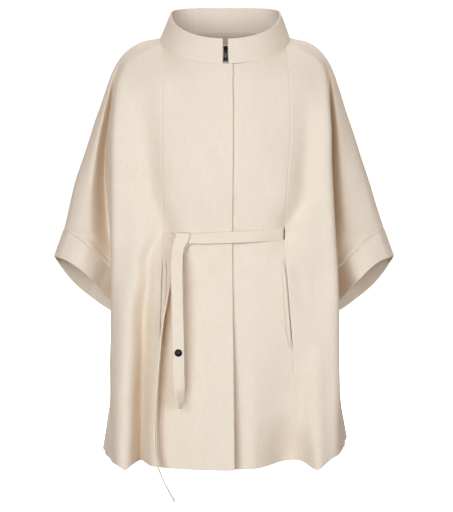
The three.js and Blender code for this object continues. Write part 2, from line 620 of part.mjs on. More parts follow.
const tailBack = [ // hangs edge-on behind the other tail and past the hem
  { x: -86, z: -385, y: ply(1), turn: 0 },
  { x: -87, z: -396, y: ply(1), turn: 2 },
  { x: -90, z: -408, y: ply(1) + 1, turn: 22 },
  { x: -97, z: -440, off: 14.5, turn: 82 },
  { x: -106, z: -485, off: 15, turn: 88 },
  { x: -117, z: -545, off: 19, turn: 88 },
  { x: -125, z: -625, off: 20, turn: 88 },
  { x: -130, z: -700, off: 22, turn: 86 },
  { x: -132, z: -760, off: 27, turn: 84 },
  { x: -127, z: -815, off: 30, turn: 82 },
  { x: -96, z: -879, off: 32, turn: 80 },
];
const runRight = [ // from the slot on the wearer's right, under the other strap
  { x: -128, z: -376, off: -HALF - GAP - 2 },
  { x: -118, z: -378, off: -1.2 },
  { x: -108, z: -381, off: LAY + 0.6 },
  { x: -94, z: -386, off: LAY + 3.4 },
  { x: -72, z: -388, y: ply(0), wide: 0.8 },
];
const foldOver = [0, 45, 90, 135, 180].map((deg) => ({ x: KNOT.x, turn: 0,
  y: ply(1) + PLY * Math.cos(degToRad(deg)), z: KNOT.fold + PLY * Math.sin(degToRad(deg)) }));
const tailFront = [ // rises behind the other strap, folds over it and hangs
  { x: KNOT.x, z: -394, y: ply(0), turn: 0 },
  ...foldOver,
  { x: KNOT.x, z: KNOT.fold - 4, y: ply(2), turn: 0 },
  { x: -81, z: -388, y: ply(2) - 1, turn: 0 },
  { x: -85.5, z: -402, y: ply(2) - 5.4, turn: 0 },
  { x: -88, z: -418, y: ply(2) - 12, turn: 0 },
  { x: -89.5, z: -440, off: 31.5, turn: 0 },
  { x: -88.5, z: -500, off: 33.5, turn: 0 },
  { x: -87, z: -560, off: 32.5, turn: 0 },
  { x: -86, z: -620, off: 31.5, turn: -4 },
  { x: -85, z: -650, off: 30.5, turn: -20 },
  { x: -84, z: -673, off: 31, turn: -48 },
  { x: -83, z: -694, off: 31.5, turn: -74 },
];

// Stops of a strap laid on the front. Only the long runs follow the cloth's own slope.
function strapStops(table, each) {
  const path = table.map(({ x, z, y, off }) =>
    V3(x, y ?? onFront(x, clamp(z, -800, -300)).p.y - off, z));
  const stops = [];
  const count = (table.length - 1) * each;
  for (let i = 0; i <= count; i++) {
    const t = i / each;
    const k = Math.min(Math.floor(t), table.length - 2);
    const p = through(path, t);
    const way = through(path, Math.min(t + 0.1, table.length - 1))
      .sub(through(path, Math.max(t - 0.1, 0))).normalize();
    const blend = (what, usual) => lerp(table[k][what] ?? usual, table[k + 1][what] ?? usual,
      ease(t - k));
    stops.push({ p, way, turn: blend("turn", 0), wide: blend("wide", 1) });
  }
  return stops;
}

// A run lies across: its width stands up. A tail hangs: its width lies across.
function runBand(table, each, grow = 0) {
  const stops = strapStops(table, each).map(({ p, way, wide }) => {
    const out = way.clone().cross(V3(0, 0, 1)).normalize();
    return { p, across: V3(0, 0, 1), out, wide };
  });
  return band(stops, STRAP.width + 2 * grow, STRAP.thick + 2 * grow);
}
function tailBand(table, each) {
  const stops = strapStops(table, each).map(({ p, way, turn }) => {
    const across = V3(1, 0, 0).addScaledVector(way, -way.x).normalize()
      .applyAxisAngle(way, degToRad(turn));
    return { p, across, out: across.clone().cross(way).normalize() };
  });
  return { solid: band(stops, STRAP.width, STRAP.thick), stops };
}

const slotCuts = [runBand(runLeft.slice(0, 4), 4, GAP + 0.05),
  runBand(runRight.slice(0, 4), 4, GAP + 0.05)];
for (const name of ["front_right", "side_right"]) made[name] = largest(made[name].subtract(slotCuts[1]));
for (const name of ["front_left", "side_left"]) made[name] = largest(made[name].subtract(slotCuts[0]));

const backTail = tailBand(tailBack, 2);
const frontTail = tailBand(tailFront, 2);
made.belt_left = runBand(runLeft, 3).add(backTail.solid);
made.belt_right = runBand(runRight, 3).add(frontTail.solid);

// Snap stud, set through the front tail
const part = (geometry, matrix = new THREE.Matrix4()) => solidOf(geometry.applyMatrix4(matrix));
const rod = (radius, tall, at = 0, segments = 18) => {
  const geometry = new THREE.CylinderGeometry(radius, radius, tall, segments);
  return geometry.rotateX(Math.PI / 2).translate(0, 0, at);
};
const box = (x, y, z, at) => new THREE.BoxGeometry(x, y, z).translate(...at);
const studStop = frontTail.stops.reduce((a, b) =>
  (Math.abs(a.p.z - STUD.z) < Math.abs(b.p.z - STUD.z) ? a : b));
const studFrame = new THREE.Matrix4().makeBasis(studStop.across.clone().normalize(),
  studStop.out.clone().cross(studStop.across).normalize(), studStop.out.clone())
  .setPosition(studStop.p);
const facingOut = studStop.out.y < 0 ? 1 : -1;
const skin = facingOut * (STRAP.thick / 2 + GAP);
const studBody = part(rod(STUD.rim, STUD.face, skin + (facingOut * STUD.face) / 2), studFrame)
  .add(part(rod(STUD.post, STRAP.thick + 1.6), studFrame))
  .add(part(rod(STUD.back, STUD.backFace, -skin - (facingOut * STUD.backFace) / 2), studFrame));
const studHollow = part(rod(4.9, 1, skin + facingOut * (STUD.face - 0.1)), studFrame);
const studDot = part(rod(2.6, 1, skin + facingOut * (STUD.face - 0.3)), studFrame);
made.snap_stud = studBody.subtract(studHollow).add(studDot);
made.belt_right = made.belt_right.subtract(part(rod(STUD.post + GAP, 9), studFrame));

// Seam pockets: a slit in each princess seam, a welt on its front lip, a patch inside
function seamLevel(side, z, u = SEAM) {
  let low = 0;
  let high = HEM;
  for (let i = 0; i < 40; i++) {
    const mid = (low + high) / 2;
    if (frontAt(side * u, mid).z > z) low = mid;
    else high = mid;
  }
  return (low + high) / 2;
}
function seamBand(side, u, off, width, thick, through = false) {
  const stops = [];
  for (let i = 0; i <= 10; i++) {
    const z = lerp(POCKET.top, POCKET.bottom, i / 10);
    const v = seamLevel(side, z);
    const { p, n } = facing(frontAt, side * u, v);
    const along = frontAt(side * u, v + 0.05).sub(frontAt(side * u, v - 0.05)).normalize();
    const across = n.clone().cross(along).normalize();
    p.addScaledVector(n, off);
    stops.push(through ? { p, across: n, out: across } : { p, across, out: n });
  }
  return band(stops, width, thick);
}
for (const [name, side] of [["right", -1], ["left", 1]]) {
  const slit = seamBand(side, SEAM, 0, 9, POCKET.slit, true);
  for (const kind of ["front", "side"])
    made[`${kind}_${name}`] = largest(made[`${kind}_${name}`].subtract(slit));
  made[`pocket_welt_${name}`] = seamBand(side, SEAM - 0.13,
    HALF + GAP + 0.1 + POCKET.thick / 2, POCKET.welt, POCKET.thick);
  const lines = grids[`front_${name}`].filter((line) => {
    const z = line[side > 0 ? line.length - 1 : 0].p.z;
    return z < POCKET.top + POCKET.above && z > POCKET.bottom - POCKET.below;
  });
  const inside = lines.map((line) => {
    const cells = side > 0 ? line.slice(-POCKET.columns) : line.slice(0, POCKET.columns);
    return cells.map(({ p, n }) =>
      ({ p: p.clone().addScaledVector(n, -HALF - GAP - 0.1 - POCKET.thick / 2), n }));
  });
  made[`pocket_patch_${name}`] = solidOf(wallFrom(inside, POCKET.thick / 2,
    { start: side < 0, end: side > 0 }, false, 2));
}

// Zip: two tapes behind the front edges, from the collar's rim to just above the hem
const COLLAR_BACK = COLLAR_WALL / 2 + GAP + ZIP.thick / 2;
const lean = V3(0, NECK.front - RIM.front, RIM.side - RIM.frontDrop - NECK.side + NECK.frontDrop)
  .normalize(); // the collar's slope at centre front, going up
const leanOut = V3(0, -lean.z, lean.y);
function collarSpot(x, z, off) {
  const t = (z - (NECK.side - NECK.frontDrop)) / lean.z;
  return V3(x, -NECK.front, NECK.side - NECK.frontDrop).addScaledVector(lean, t)
    .addScaledVector(leanOut, off);
}
// The place at x on the flat facet between two neighbours of a line of cells.
function onFacet(cells, x) {
  let i = 0;
  while (i < cells.length - 2 && cells[i + 1].p.x < x) i++;
  const t = (x - cells[i].p.x) / (cells[i + 1].p.x - cells[i].p.x);
  return { p: cells[i].p.clone().lerp(cells[i + 1].p, t),
    n: cells[i].n.clone().lerp(cells[i + 1].n, t).normalize() };
}
function tapeBand(side) {
  const inner = ZIP.x + (side * ZIP.apart) / 2;
  const outer = inner + side * ZIP.tape;
  const behind = ({ p, n }, off) => p.clone().addScaledVector(n, -off);
  const ends = collarGrid().map((line) =>
    (side > 0 ? line.slice(0, 2) : line.slice(-2)).sort((a, b) => a.p.x - b.p.x));
  const top = ends[0].map((cell, i) => ({ n: cell.n,
    p: cell.p.clone().lerp(ends[1][i].p, ZIP.below) }));
  const stops = [top, ends[1], ends[2]].map((cells) => {
    const far = behind(onFacet(cells, outer), COLLAR_BACK);
    return { near: collarSpot(inner, far.z, -COLLAR_BACK), far };
  });
  const cloth = grids[side > 0 ? "front_left" : "front_right"];
  const seamAt = stops.length;
  grids.front_left.forEach((under, j) => {
    const back = HALF + GAP + 0.1 + ZIP.thick / 2;
    const near = behind(onFacet(under.slice(0, 2), inner), back);
    const far = behind(onFacet(cloth[j], outer), back);
    stops.push({ near, far });
  });
  const between = (a, b, t) =>
    ({ near: a.near.clone().lerp(b.near, t), far: a.far.clone().lerp(b.far, t) });
  const [high, low] = [stops[seamAt - 1], stops[seamAt]];
  stops.splice(seamAt, 0, between(high, low, 1 / 3), between(high, low, 2 / 3));
  const last = stops.pop();
  const prior = stops[stops.length - 1];
  const share = (ZIP.bottom - prior.near.z) / (last.near.z - prior.near.z);
  stops.push(between(prior, last, share));
  const made = stops.map(({ near, far }) => ({
    p: near.clone().lerp(far, 0.5), across: far.clone().sub(near) }));
  made.forEach((stop, i) => {
    const a = made[Math.max(i - 1, 0)].p;
    const b = made[Math.min(i + 1, made.length - 1)].p;
    stop.out = stop.across.clone().cross(b.clone().sub(a)).normalize();
  });
  return band(made, ZIP.tape, ZIP.thick);
}
made.zip_tape_left = tapeBand(1);
made.zip_tape_right = tapeBand(-1);

// Slider and its pull, in a frame that leans with the collar: x across, y out, z up the tape
const hinge = collarSpot(ZIP.x, SLIDER.z, SLIDER.stand);
const zipFrame = new THREE.Matrix4().makeBasis(V3(1, 0, 0).negate(), leanOut, lean)
  .setPosition(hinge);
const tapeY = -SLIDER.stand - COLLAR_BACK;
const channel = ZIP.thick / 2 + GAP;
const plateAt = (sign) => tapeY + sign * (channel + SLIDER.plate / 2);
const crossRod = (radius, length, segments = 20) =>
  new THREE.CylinderGeometry(radius, radius, length, segments).rotateZ(Math.PI / 2);
const slider = [
  box(SLIDER.width, SLIDER.plate, SLIDER.tall, [0, plateAt(1), 0]),
  box(SLIDER.width, SLIDER.plate, SLIDER.tall, [0, plateAt(-1), 0]),
  box(ZIP.apart - 2 * GAP, 2 * channel + 0.4, 3, [0, tapeY, SLIDER.tall / 2 - 1.6]),
  crossRod(SLIDER.bar, 2 * SLIDER.lugAt),
  ...[-1, 1].map((sign) => {
    const reach = SLIDER.bar + 0.5 - plateAt(1);
    return box(SLIDER.lug, reach, 2.4, [sign * SLIDER.lugAt, plateAt(1) + reach / 2, 0]);
  }),
].map((geometry) => part(geometry, zipFrame)).reduce((a, b) => a.add(b));

const outline = new THREE.Shape([[-PULL.eye / 2, 0], [PULL.eye / 2, 0], [PULL.eye / 2, -2.2],
  [PULL.top / 2, -3], [PULL.bottom / 2, -PULL.length], [PULL.notch / 2, -PULL.length],
  [PULL.notch / 2, 3.2 - PULL.length], [-PULL.notch / 2, 3.2 - PULL.length],
  [-PULL.notch / 2, -PULL.length], [-PULL.bottom / 2, -PULL.length], [-PULL.top / 2, -3],
  [-PULL.eye / 2, -2.2]].map(([x, y]) => new THREE.Vector2(x, y)));
const blade = new THREE.ExtrudeGeometry(outline, { depth: PULL.thick, bevelEnabled: false })
  .translate(0, 0, -PULL.thick / 2).rotateX(Math.PI / 2);
const indexed = (geometry) => {
  const count = geometry.getAttribute("position").count;
  if (!geometry.index) geometry.setIndex([...Array(count).keys()]);
  return geometry;
};
const pull = part(indexed(blade), zipFrame)
  .add(part(crossRod(PULL.eyeRadius, PULL.eye, 24), zipFrame))
  .subtract(part(crossRod(SLIDER.bar + GAP, 12, 24), zipFrame));

made.collar = largest(made.collar);
for (const [name, solid] of Object.entries(made))
  add(name, geometryOf(solid), name.startsWith("zip_tape") ? TAPE
    : name === "snap_stud" ? DARK_METAL : CASHMERE);
add("zip_slider", geometryOf(slider), DARK_METAL);
add("zip_pull", geometryOf(pull), DARK_METAL);

export default group;
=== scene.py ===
# A belted cape in doubled cashmere: its cloth, trim, materials and studio.
# The form's sizes are in millimetres, as a pattern cutter gives them, and the meshes in metres.
import math

import bmesh
import bpy
import numpy as np
from mathutils import Matrix, Vector


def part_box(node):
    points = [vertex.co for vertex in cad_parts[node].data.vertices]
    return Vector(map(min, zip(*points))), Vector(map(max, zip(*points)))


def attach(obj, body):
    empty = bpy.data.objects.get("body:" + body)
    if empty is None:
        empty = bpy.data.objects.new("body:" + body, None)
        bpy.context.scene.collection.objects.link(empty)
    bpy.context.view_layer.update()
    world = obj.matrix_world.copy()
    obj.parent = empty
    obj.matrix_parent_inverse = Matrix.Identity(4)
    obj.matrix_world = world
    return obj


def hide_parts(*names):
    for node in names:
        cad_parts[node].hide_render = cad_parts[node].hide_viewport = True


bl_info = {
    "name": "Cashmere cape",
    "version": (1, 0, 0),
    "blender": (4, 5, 0),
    "location": "View3D > Sidebar > Cape",
    "description": "Builds a belted cashmere cape on its frame, with its trim and studio",
    "category": "Add Mesh",
}

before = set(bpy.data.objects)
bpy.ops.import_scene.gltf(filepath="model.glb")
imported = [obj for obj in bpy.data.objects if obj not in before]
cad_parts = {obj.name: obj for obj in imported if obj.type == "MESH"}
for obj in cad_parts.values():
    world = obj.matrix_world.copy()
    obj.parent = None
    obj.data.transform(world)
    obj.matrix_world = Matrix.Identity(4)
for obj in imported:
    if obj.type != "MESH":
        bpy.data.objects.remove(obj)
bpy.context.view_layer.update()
MM = 0.001
SIDES = (("right", -1), ("left", 1))

# Cloth, seams and trim, in millimetres
CLOTH = 2.8
HALF = CLOTH / 2
# The cloth is drawn a little thinner than its wall, so that its layers stay clear.
SLACK = 0.96
GAP = 0.3
COLLAR_HALF = 2.0
FLAP_EDGE = 15.0
UNDER_EDGE = 4.0
UNDER_DEPTH = CLOTH + GAP + 0.1
UNDER_EASE = 1.4
FLAP_LIFT = 19.0
# From where across the front to where the under front sinks and the flap lifts
UNDER_SPAN, FLAP_SPAN = (60, 17), (-50, 12)
# Heights between which the fine drape starts below the neckline
DRAPE_IN = (-60, -110)
NECK_SPREAD = 0.25
CUFF_BAND = 56.0
ARM = np.array([0.34, 0.0, -0.94]) / math.hypot(0.34, 0.94)
STRAP_WIDTH = 22.0
STRAP_THICK = 3.2
SLOT_X, SLOT_LEFT, SLOT_RIGHT = 112.0, -375.0, -379.0
POCKET_TOP, POCKET_BOTTOM = -424.0, -586.0
# A welt is cut 10.5 mm wide, shows 7 mm, and its edges are rounder than a thick cloth's.
WELT_CUT, WELT_THICK, WELT_ROUND, WELT_STAND = 10.5, 1.6, 1.6, 0.6
WELT_PLACES = np.array([-3.5, -3.35, -3, -2.4, -1.2, 0, 1.2, 2.4, 3, 3.35, 3.5])
# The line beside the princess seam where a welt lies, and those that a pocket's patch spans
WELT_LINE, PATCH_LINES = 2.87, (1.02, 3.12)
SLOT_OPEN, POCKET_OPEN, SLOT_HALF = 1.9, 0.8, 11.6
RIGHT_SLOT_SHARE = 0.25
ZIP_X, TAPE, TAPE_THICK, TAPES_APART = 1.2, 12.0, 1.0, 1.8
# Heights of the tapes: their top, the collar's foot, the bend below it and their end
TAPE_TOP, COLLAR_FOOT, TAPE_BEND, ZIP_BOTTOM = -19.8, -44.0, -58.0, -782.0
COIL_PITCH, COIL_WIRE, COIL_WIDTH, COIL_SOFT = 2.4, 0.42, 2.6, 0.14

NECK = dict(half=124, front=100, back=86, side=-4, front_drop=51, back_rise=12)
RIM = dict(half=104.5, front=88, back=82, side=43, front_drop=51, back_rise=17, lift=0.8)
RIM_SQUARE = 3.2
RIM_SHIFT = 1.3


def table(columns, rows):
    """A table's rows as dictionaries, by the names of its columns."""
    return [dict(zip(columns.split(), row)) for row in rows]


# Height and depth of the cape at eight levels below the neck
FRONT = table("y z edge_x edge_y valley_x valley_y seam_x", [
    (-110, -82, 146, -36, 153, -22, 118.5),
    (-118, -112, 186, -52, 194, -30, 121),
    (-131, -190, 201, -88, 208, -34, 123.5),
    (-140, -300, 207, -102, 209, -22, 116),
    (-134, -395, 211, -104, 206, -15, 111),
    (-145, -500, 213, -98, 203, -34, 119),
    (-165, -655, 216, -88, 218, -46, 132),
    (-181, -812, 212, -88, 231, -46, 139)])
SIDE = table("out_x out_y out_z sleeve_front sleeve_back", [
    (164, 0, -14, -13, 14),
    (196, 0, -44, -20, 26),
    (235, 0, -146, -44, 44),
    (276, 0, -271, -46, 50),
    (310, 4, -373, -36, 46),
    (188, 12, -486, -12, 40),
    (215, 10, -650, -18, 42),
    (239, 8, -782, -20, 46)])
BACK = table("y z edge_x edge_y valley_x valley_y", [
    (102, -22, 136, 58, 150, 32),
    (116, -52, 168, 80, 184, 54),
    (129, -140, 194, 88, 211, 50),
    (137, -270, 201, 97, 215, 42),
    (141, -392, 204, 102, 211, 38),
    (147, -508, 205, 106, 206, 62),
    (163, -668, 203, 112, 219, 76),
    (176, -826, 205, 122, 230, 84)])
BAND = 5
UNDERARM = 6
HEM = 8
# The front's lines stand 40 mm apart at the neck. The third is the princess seam and the tenth
# runs over the arm. The back's lines run from one arm to the other.
LINE_MM = 40.0
SEAM, OVER_ARM, BACK_END = 3, 10, 16
# Millimetres of cloth in one level, at the neck and at the hem
NECK_LEVEL, HEM_LEVEL = 40.0, 157.0
NECK_FRONT_ANGLES = [0, 25, 48, 70, 74, 78, 79.6, 81.5, 84.5, 87.5, 90]
NECK_BACK_ANGLES = [90, 93, 97, 104, 109, 116, 138, 160, 180]
ROUND = 2.2
FRONT_RISE = [0, 0.1, 0.27, 0.5, 0.7, 0.8, 0.84, 0.88, 0.94, 0.98, 1]
BACK_RISE = [1, 0.97, 0.92, 0.84, 0.78, 0.68, 0.4, 0.12, 0]
HEM_RISE = {-1: 6, 1: 2.8}
CUFF = {
    "front": (6, 20, np.array([0.0, -5, 11])),
    "back": (6, -15, np.array([9.0, 4, 1])),
}
SLEEVE_SHARES = {-1: (0.42, 0.86), 1: (0.32, 0.86)}
LEFT_EDGE = (0, -1, -3, -5, -7, -5, 0, 0, 0)
VALLEY_IN = (0, 0, 3, 9, 12, 12, 6, 0, 0)
RIGHT_SIDE = {
    "valley": (0, 0, 4, 15, 24, 19, 5, 0, 0),
    "edge": (0, 0, 3, 7, 5, 1, 0, 0, 0),
    "out": (0, 2, 7, 9, 10, 4, 0, 0, 0),
    "seam": (0, -1, -3, -6, 1, 5, 0, -7, -9),
    "lower": (0, 0, 0, 0, 0, 0, 0, 0, 22),
}

# Large folds of the front: width, drop of the hem, and knots of height, place and depth
FOLDS = [
    (21, 15, [(-520, 168, 0), (-680, 172, -13), (-815, 174, -30)]),
    (44, -3, [(-560, 104, 0), (-700, 110, 16), (-815, 116, 44)]),
    (28, 1, [(-350, -160, 0), (-430, -174, -12), (-545, -188, -24), (-700, -197, -33),
             (-815, -200, -38)]),
    (13, -3, [(-350, -126, 0), (-430, -144, 10), (-545, -155, 22), (-700, -159, 32),
              (-815, -161, 38)]),
    (9, 8, [(-640, -187, 0), (-815, -189, 0)]),
    (34, 0, [(-400, 205, 0), (-520, 208, -14), (-680, 214, -28), (-815, 216, -32)]),
    (24, 0, [(-85, 150, 0), (-190, 155, 11), (-290, 152, 15), (-365, 122, 10), (-430, 116, 0)]),
    (26, 0, [(-85, -160, 0), (-190, -152, 12), (-290, -142, 17), (-365, -122, 12),
             (-430, -116, 0)]),
    (52, 0, [(-90, 45, 0), (-230, 52, -11), (-340, 40, -4), (-420, 40, 0)]),
    (52, 0, [(-90, -45, 0), (-230, -55, -9), (-340, -45, -4), (-420, -40, 0)]),
]
# Heights between which the hem's drops and the flap's lift grow in, and the folds' reach in lines
DROP_TOP, LIFT_TOP, LOW = -640, -440, -812
FOLDS_END, FOLDS_FULL = 7.4, 5.2
SLOT_DEPTH, SLOT_REACH = 8.0, 30.0
FLUTE_DEPTH, FLUTE_PITCH, FLUTE_TOP, FLUTE_LOW = 15.0, 152.0, -300.0, -826.0


def lerp(a, b, t):
    return a + (b - a) * t


def ease(t):
    return t * t * (3 - 2 * t)


def ramp(a, b, x):
    """0 at a and before it, 1 at b and past it, and smooth between."""
    return ease(np.clip((x - a) / (b - a), 0, 1))


def unit(v):
    return v / np.maximum(np.linalg.norm(v, axis=-1, keepdims=True), 1e-12)


def through(points, at):
    """Centripetal spline through each row of points, at fractional indices."""
    n = points.shape[1]
    i = np.clip(np.floor(at).astype(int), 0, n - 2)
    t = (at - i)[..., None]
    r = np.arange(points.shape[0])[:, None]
    b = points[r, i]
    c = points[r, i + 1]
    a = np.where((i > 0)[..., None], points[r, np.maximum(i - 1, 0)], 2 * b - c)
    d = np.where((i < n - 2)[..., None], points[r, np.minimum(i + 2, n - 1)], 2 * c - b)

    def knot(p, q):
        return np.maximum(np.sqrt(np.linalg.norm(p - q, axis=-1, keepdims=True)), 1e-3)

    k0, k1, k2 = knot(a, b), knot(b, c), knot(c, d)
    m1 = ((b - a) / k0 - (c - a) / (k0 + k1) + (c - b) / k1) * k1
    m2 = ((c - b) / k1 - (d - b) / (k1 + k2) + (d - c) / k2) * k1
    e = b - c
    return b + m1 * t + (-3 * e - 2 * m1 - m2) * t ** 2 + (2 * e + m1 + m2) * t ** 3


def spline(points, at):
    """The same spline through one list of points."""
    return through(np.asarray(points, float)[None], np.atleast_1d(at)[None])[0]


def ring_point(ring, degrees, square=2.0):
    """A place on the neck or the rim. Higher values of square flatten the ring's back."""
    a = math.radians(degrees)
    s = math.copysign(abs(math.sin(a)) ** (2 / square), math.sin(a))
    c = math.copysign(abs(math.cos(a)) ** (2 / square), math.cos(a))
    fall = -ring["front_drop"] * c if c > 0 else ring["back_rise"] * abs(c) ** ring.get("lift", 1)
    y = -ring["front"] * c if c > 0 else -ring["back"] * c
    return np.array([ring["half"] * s, y, ring["side"] + fall])


def front_lines(side, k):
    """The eleven front lines at one level: centre, seam, ridge, valley, sleeve and arm."""
    flip = np.array([side, 1, 1])
    if k == 0:
        return np.array([ring_point(NECK, d) * flip for d in NECK_FRONT_ANGLES])
    f, s = FRONT[k - 1], SIDE[k - 1]
    own = {w: RIGHT_SIDE[w][k] if side < 0 else 0 for w in RIGHT_SIDE}
    edge_x = f["edge_x"] + (LEFT_EDGE[k] if side > 0 else own["edge"])
    valley_x = f["valley_x"] + own["valley"] + (LEFT_EDGE[k] if side > 0 else 0)
    valley_y = f["valley_y"] + VALLEY_IN[k]
    out_x = s["out_x"] + own["out"]
    seam_x = f["seam_x"] + own["seam"]

    def face(x):
        return x, f["y"] + (f["edge_y"] - f["y"]) * (x / edge_x) ** ROUND

    plan = [
        (0, f["y"]), face(seam_x / 3), face(seam_x * 2 / 3), face(seam_x),
        face(lerp(seam_x, edge_x, 0.7)), (edge_x, f["edge_y"]),
        (lerp(edge_x, valley_x, 0.5), lerp(f["edge_y"], valley_y, 0.5)),
        (valley_x, valley_y),
        (lerp(valley_x, out_x, SLEEVE_SHARES[side][0]), s["sleeve_front"]),
        (lerp(valley_x, out_x, SLEEVE_SHARES[side][1]), lerp(s["out_y"], s["sleeve_front"], 0.58)),
        (out_x, s["out_y"])]
    power = HEM_RISE[side] if k == HEM else 1
    out_z = s["out_z"] - own["lower"]
    return np.array([(side * x, y, lerp(f["z"], out_z, FRONT_RISE[i] ** power))
                     for i, (x, y) in enumerate(plan)])


def back_lines(side, k):
    """The nine back lines at one level, from the arm to the centre."""
    flip = np.array([side, 1, 1])
    if k == 0:
        return np.array([ring_point(NECK, d) * flip for d in NECK_BACK_ANGLES])
    b, s = BACK[k - 1], SIDE[k - 1]
    valley_x = b["valley_x"]
    out_x = s["out_x"] + (RIGHT_SIDE["out"][k] if side < 0 else 0)
    out_z = s["out_z"] - (RIGHT_SIDE["lower"][k] if side < 0 else 0)

    def face(x):
        return x, b["y"] + (b["edge_y"] - b["y"]) * (x / b["edge_x"]) ** ROUND

    plan = [
        (out_x, s["out_y"]),
        (lerp(valley_x, out_x, SLEEVE_SHARES[side][1]), lerp(s["out_y"], s["sleeve_back"], 0.58)),
        (lerp(valley_x, out_x, SLEEVE_SHARES[side][0]), s["sleeve_back"]),
        (valley_x, b["valley_y"]),
        (lerp(b["edge_x"], valley_x, 0.5), lerp(b["edge_y"], b["valley_y"], 0.5)),
        (b["edge_x"], b["edge_y"]), face(b["edge_x"] * 0.62), face(b["edge_x"] * 0.3),
        (0, b["y"])]
    power = 2 if k == HEM else 1
    return np.array([(side * x, y, lerp(b["z"], out_z, BACK_RISE[i] ** power))
                     for i, (x, y) in enumerate(plan)])


NETS = {side: {
    "front": np.array([front_lines(side, k) for k in range(HEM + 1)]).transpose(1, 0, 2),
    "back": np.array([back_lines(side, k) for k in range(HEM + 1)]).transpose(1, 0, 2),
} for side in (1, -1)}


def bulge(w):
    """How far the arm opening stands out between its two ends."""
    return math.sin(math.pi * w) ** 0.9


SLEEVE_LINES = {"front": [7, 8, 9, 10], "back": [3, 2, 1, 0]}
SLEEVE_ABOVE = {(side, kind): np.array([spline(NETS[side][kind][i][:BAND + 1], BAND - 0.12)[0]
                                        for i in SLEEVE_LINES[kind]])
                for side in (1, -1) for kind in ("front", "back")}
SLEEVE_EASE = 26.0


def sleeve_depth(side, kind, x, z, valley_y):
    """Depth of the sleeve's own section just above the band, carried on downwards."""
    points = NETS[side][kind][SLEEVE_LINES[kind], BAND]
    valley, arm = points[0], points[3]
    arm_x = abs(arm[0]) + (ARM[0] / -ARM[2]) * (arm[2] - z)
    share = min(max((abs(x) - abs(valley[0])) / (arm_x - abs(valley[0])), 0), 1)
    a, b = SLEEVE_SHARES[side]
    at = (share / a if share < a else 1 + (share - a) / (b - a) if share < b
          else 2 + (share - b) / (1 - b))
    here = spline(points, at)[0]
    above = spline(SLEEVE_ABOVE[side, kind], at)[0]
    slope = (here[1] - above[1]) / (above[2] - here[2])
    run_on = SLEEVE_EASE * (1 - math.exp(-max(here[2] - z, 0) / SLEEVE_EASE))
    return here[1] + slope * run_on + (valley_y - valley[1]) * (1 - share)


def open_sleeve(side, kind, line, w):
    """Beside the opening the sleeve's cloth ends on the band's seam."""
    valley, inner, outer, edge = (7, 8, 9, 10) if kind == "front" else (3, 2, 1, 0)
    bend_x, bend_z, _ = CUFF[kind]
    rise = math.sin(math.pi * w) ** (1 if kind == "front" else 0.7)
    flatten = ramp(0.6, 1, w)
    line[edge, 0] += side * bend_x * rise
    line[edge, 2] += bend_z * rise
    valley_y = line[valley, 1]
    line[edge, 1] = lerp(sleeve_depth(side, kind, line[edge, 0], line[edge, 2], valley_y),
                         line[edge, 1], flatten)
    a, b = SLEEVE_SHARES[side]
    shares = (a, lerp(b, 0.74, ramp(0, 0.3, w)))
    for i, share in zip((inner, outer), shares):
        straight = lerp(line[valley], line[edge], share)
        straight[1] = lerp(sleeve_depth(side, kind, straight[0], straight[2], valley_y),
                           straight[1], flatten)
        line[i] = lerp(line[i], straight, ramp(-0.1, 0.02, w) * ramp(1.0, 0.88, w))


def outer_line(line, vs):
    """The line over the arm ends at the band, and the side seam starts at the underarm."""
    above = spline(line[:BAND + 1], np.clip(vs, 0, BAND))
    below = spline(line[UNDERARM:], np.clip(vs - UNDERARM, 0, HEM - UNDERARM))
    between = lerp(line[BAND], line[UNDERARM], np.clip(vs - BAND, 0, 1)[:, None])
    return np.where((vs <= BAND)[:, None], above,
                    np.where((vs >= UNDERARM)[:, None], below, between))


def rows(vs):
    """Control points of the levels vs: the front from arm to arm and the back likewise."""
    vs = np.asarray(vs, float)
    ws = np.clip((vs - BAND) / (UNDERARM - BAND), 0, 1)
    half = {}
    for side in (1, -1):
        net = NETS[side]
        front = np.stack([(spline if i < 8 else outer_line)(line, vs)
                          for i, line in enumerate(net["front"])], axis=1)
        back = np.stack([(spline if i > 2 else outer_line)(line, vs)
                         for i, line in enumerate(net["back"])], axis=1)
        for j in np.nonzero((vs > BAND) & (vs < UNDERARM))[0]:
            open_sleeve(side, "front", front[j], ws[j])
            open_sleeve(side, "back", back[j], ws[j])
        opened = (ramp(0, 0.12, ws) * ramp(1, 0.8, ws))[:, None]
        half[side] = (
            front, back,
            lerp(back[:, 1], 2 * front[:, 10] - front[:, 9], opened),
            lerp(front[:, 9], 2 * back[:, 0] - back[:, 1], opened))
    (fm, bm, past_fm, past_bm), (fp, bp, past_fp, past_bp) = half[-1], half[1]
    front = np.concatenate([past_fm[:, None], fm[:, ::-1], fp[:, 1:], past_fp[:, None]], axis=1)
    back = np.concatenate([past_bp[:, None], bp, bm[:, -2::-1], past_bm[:, None]], axis=1)
    return front, back


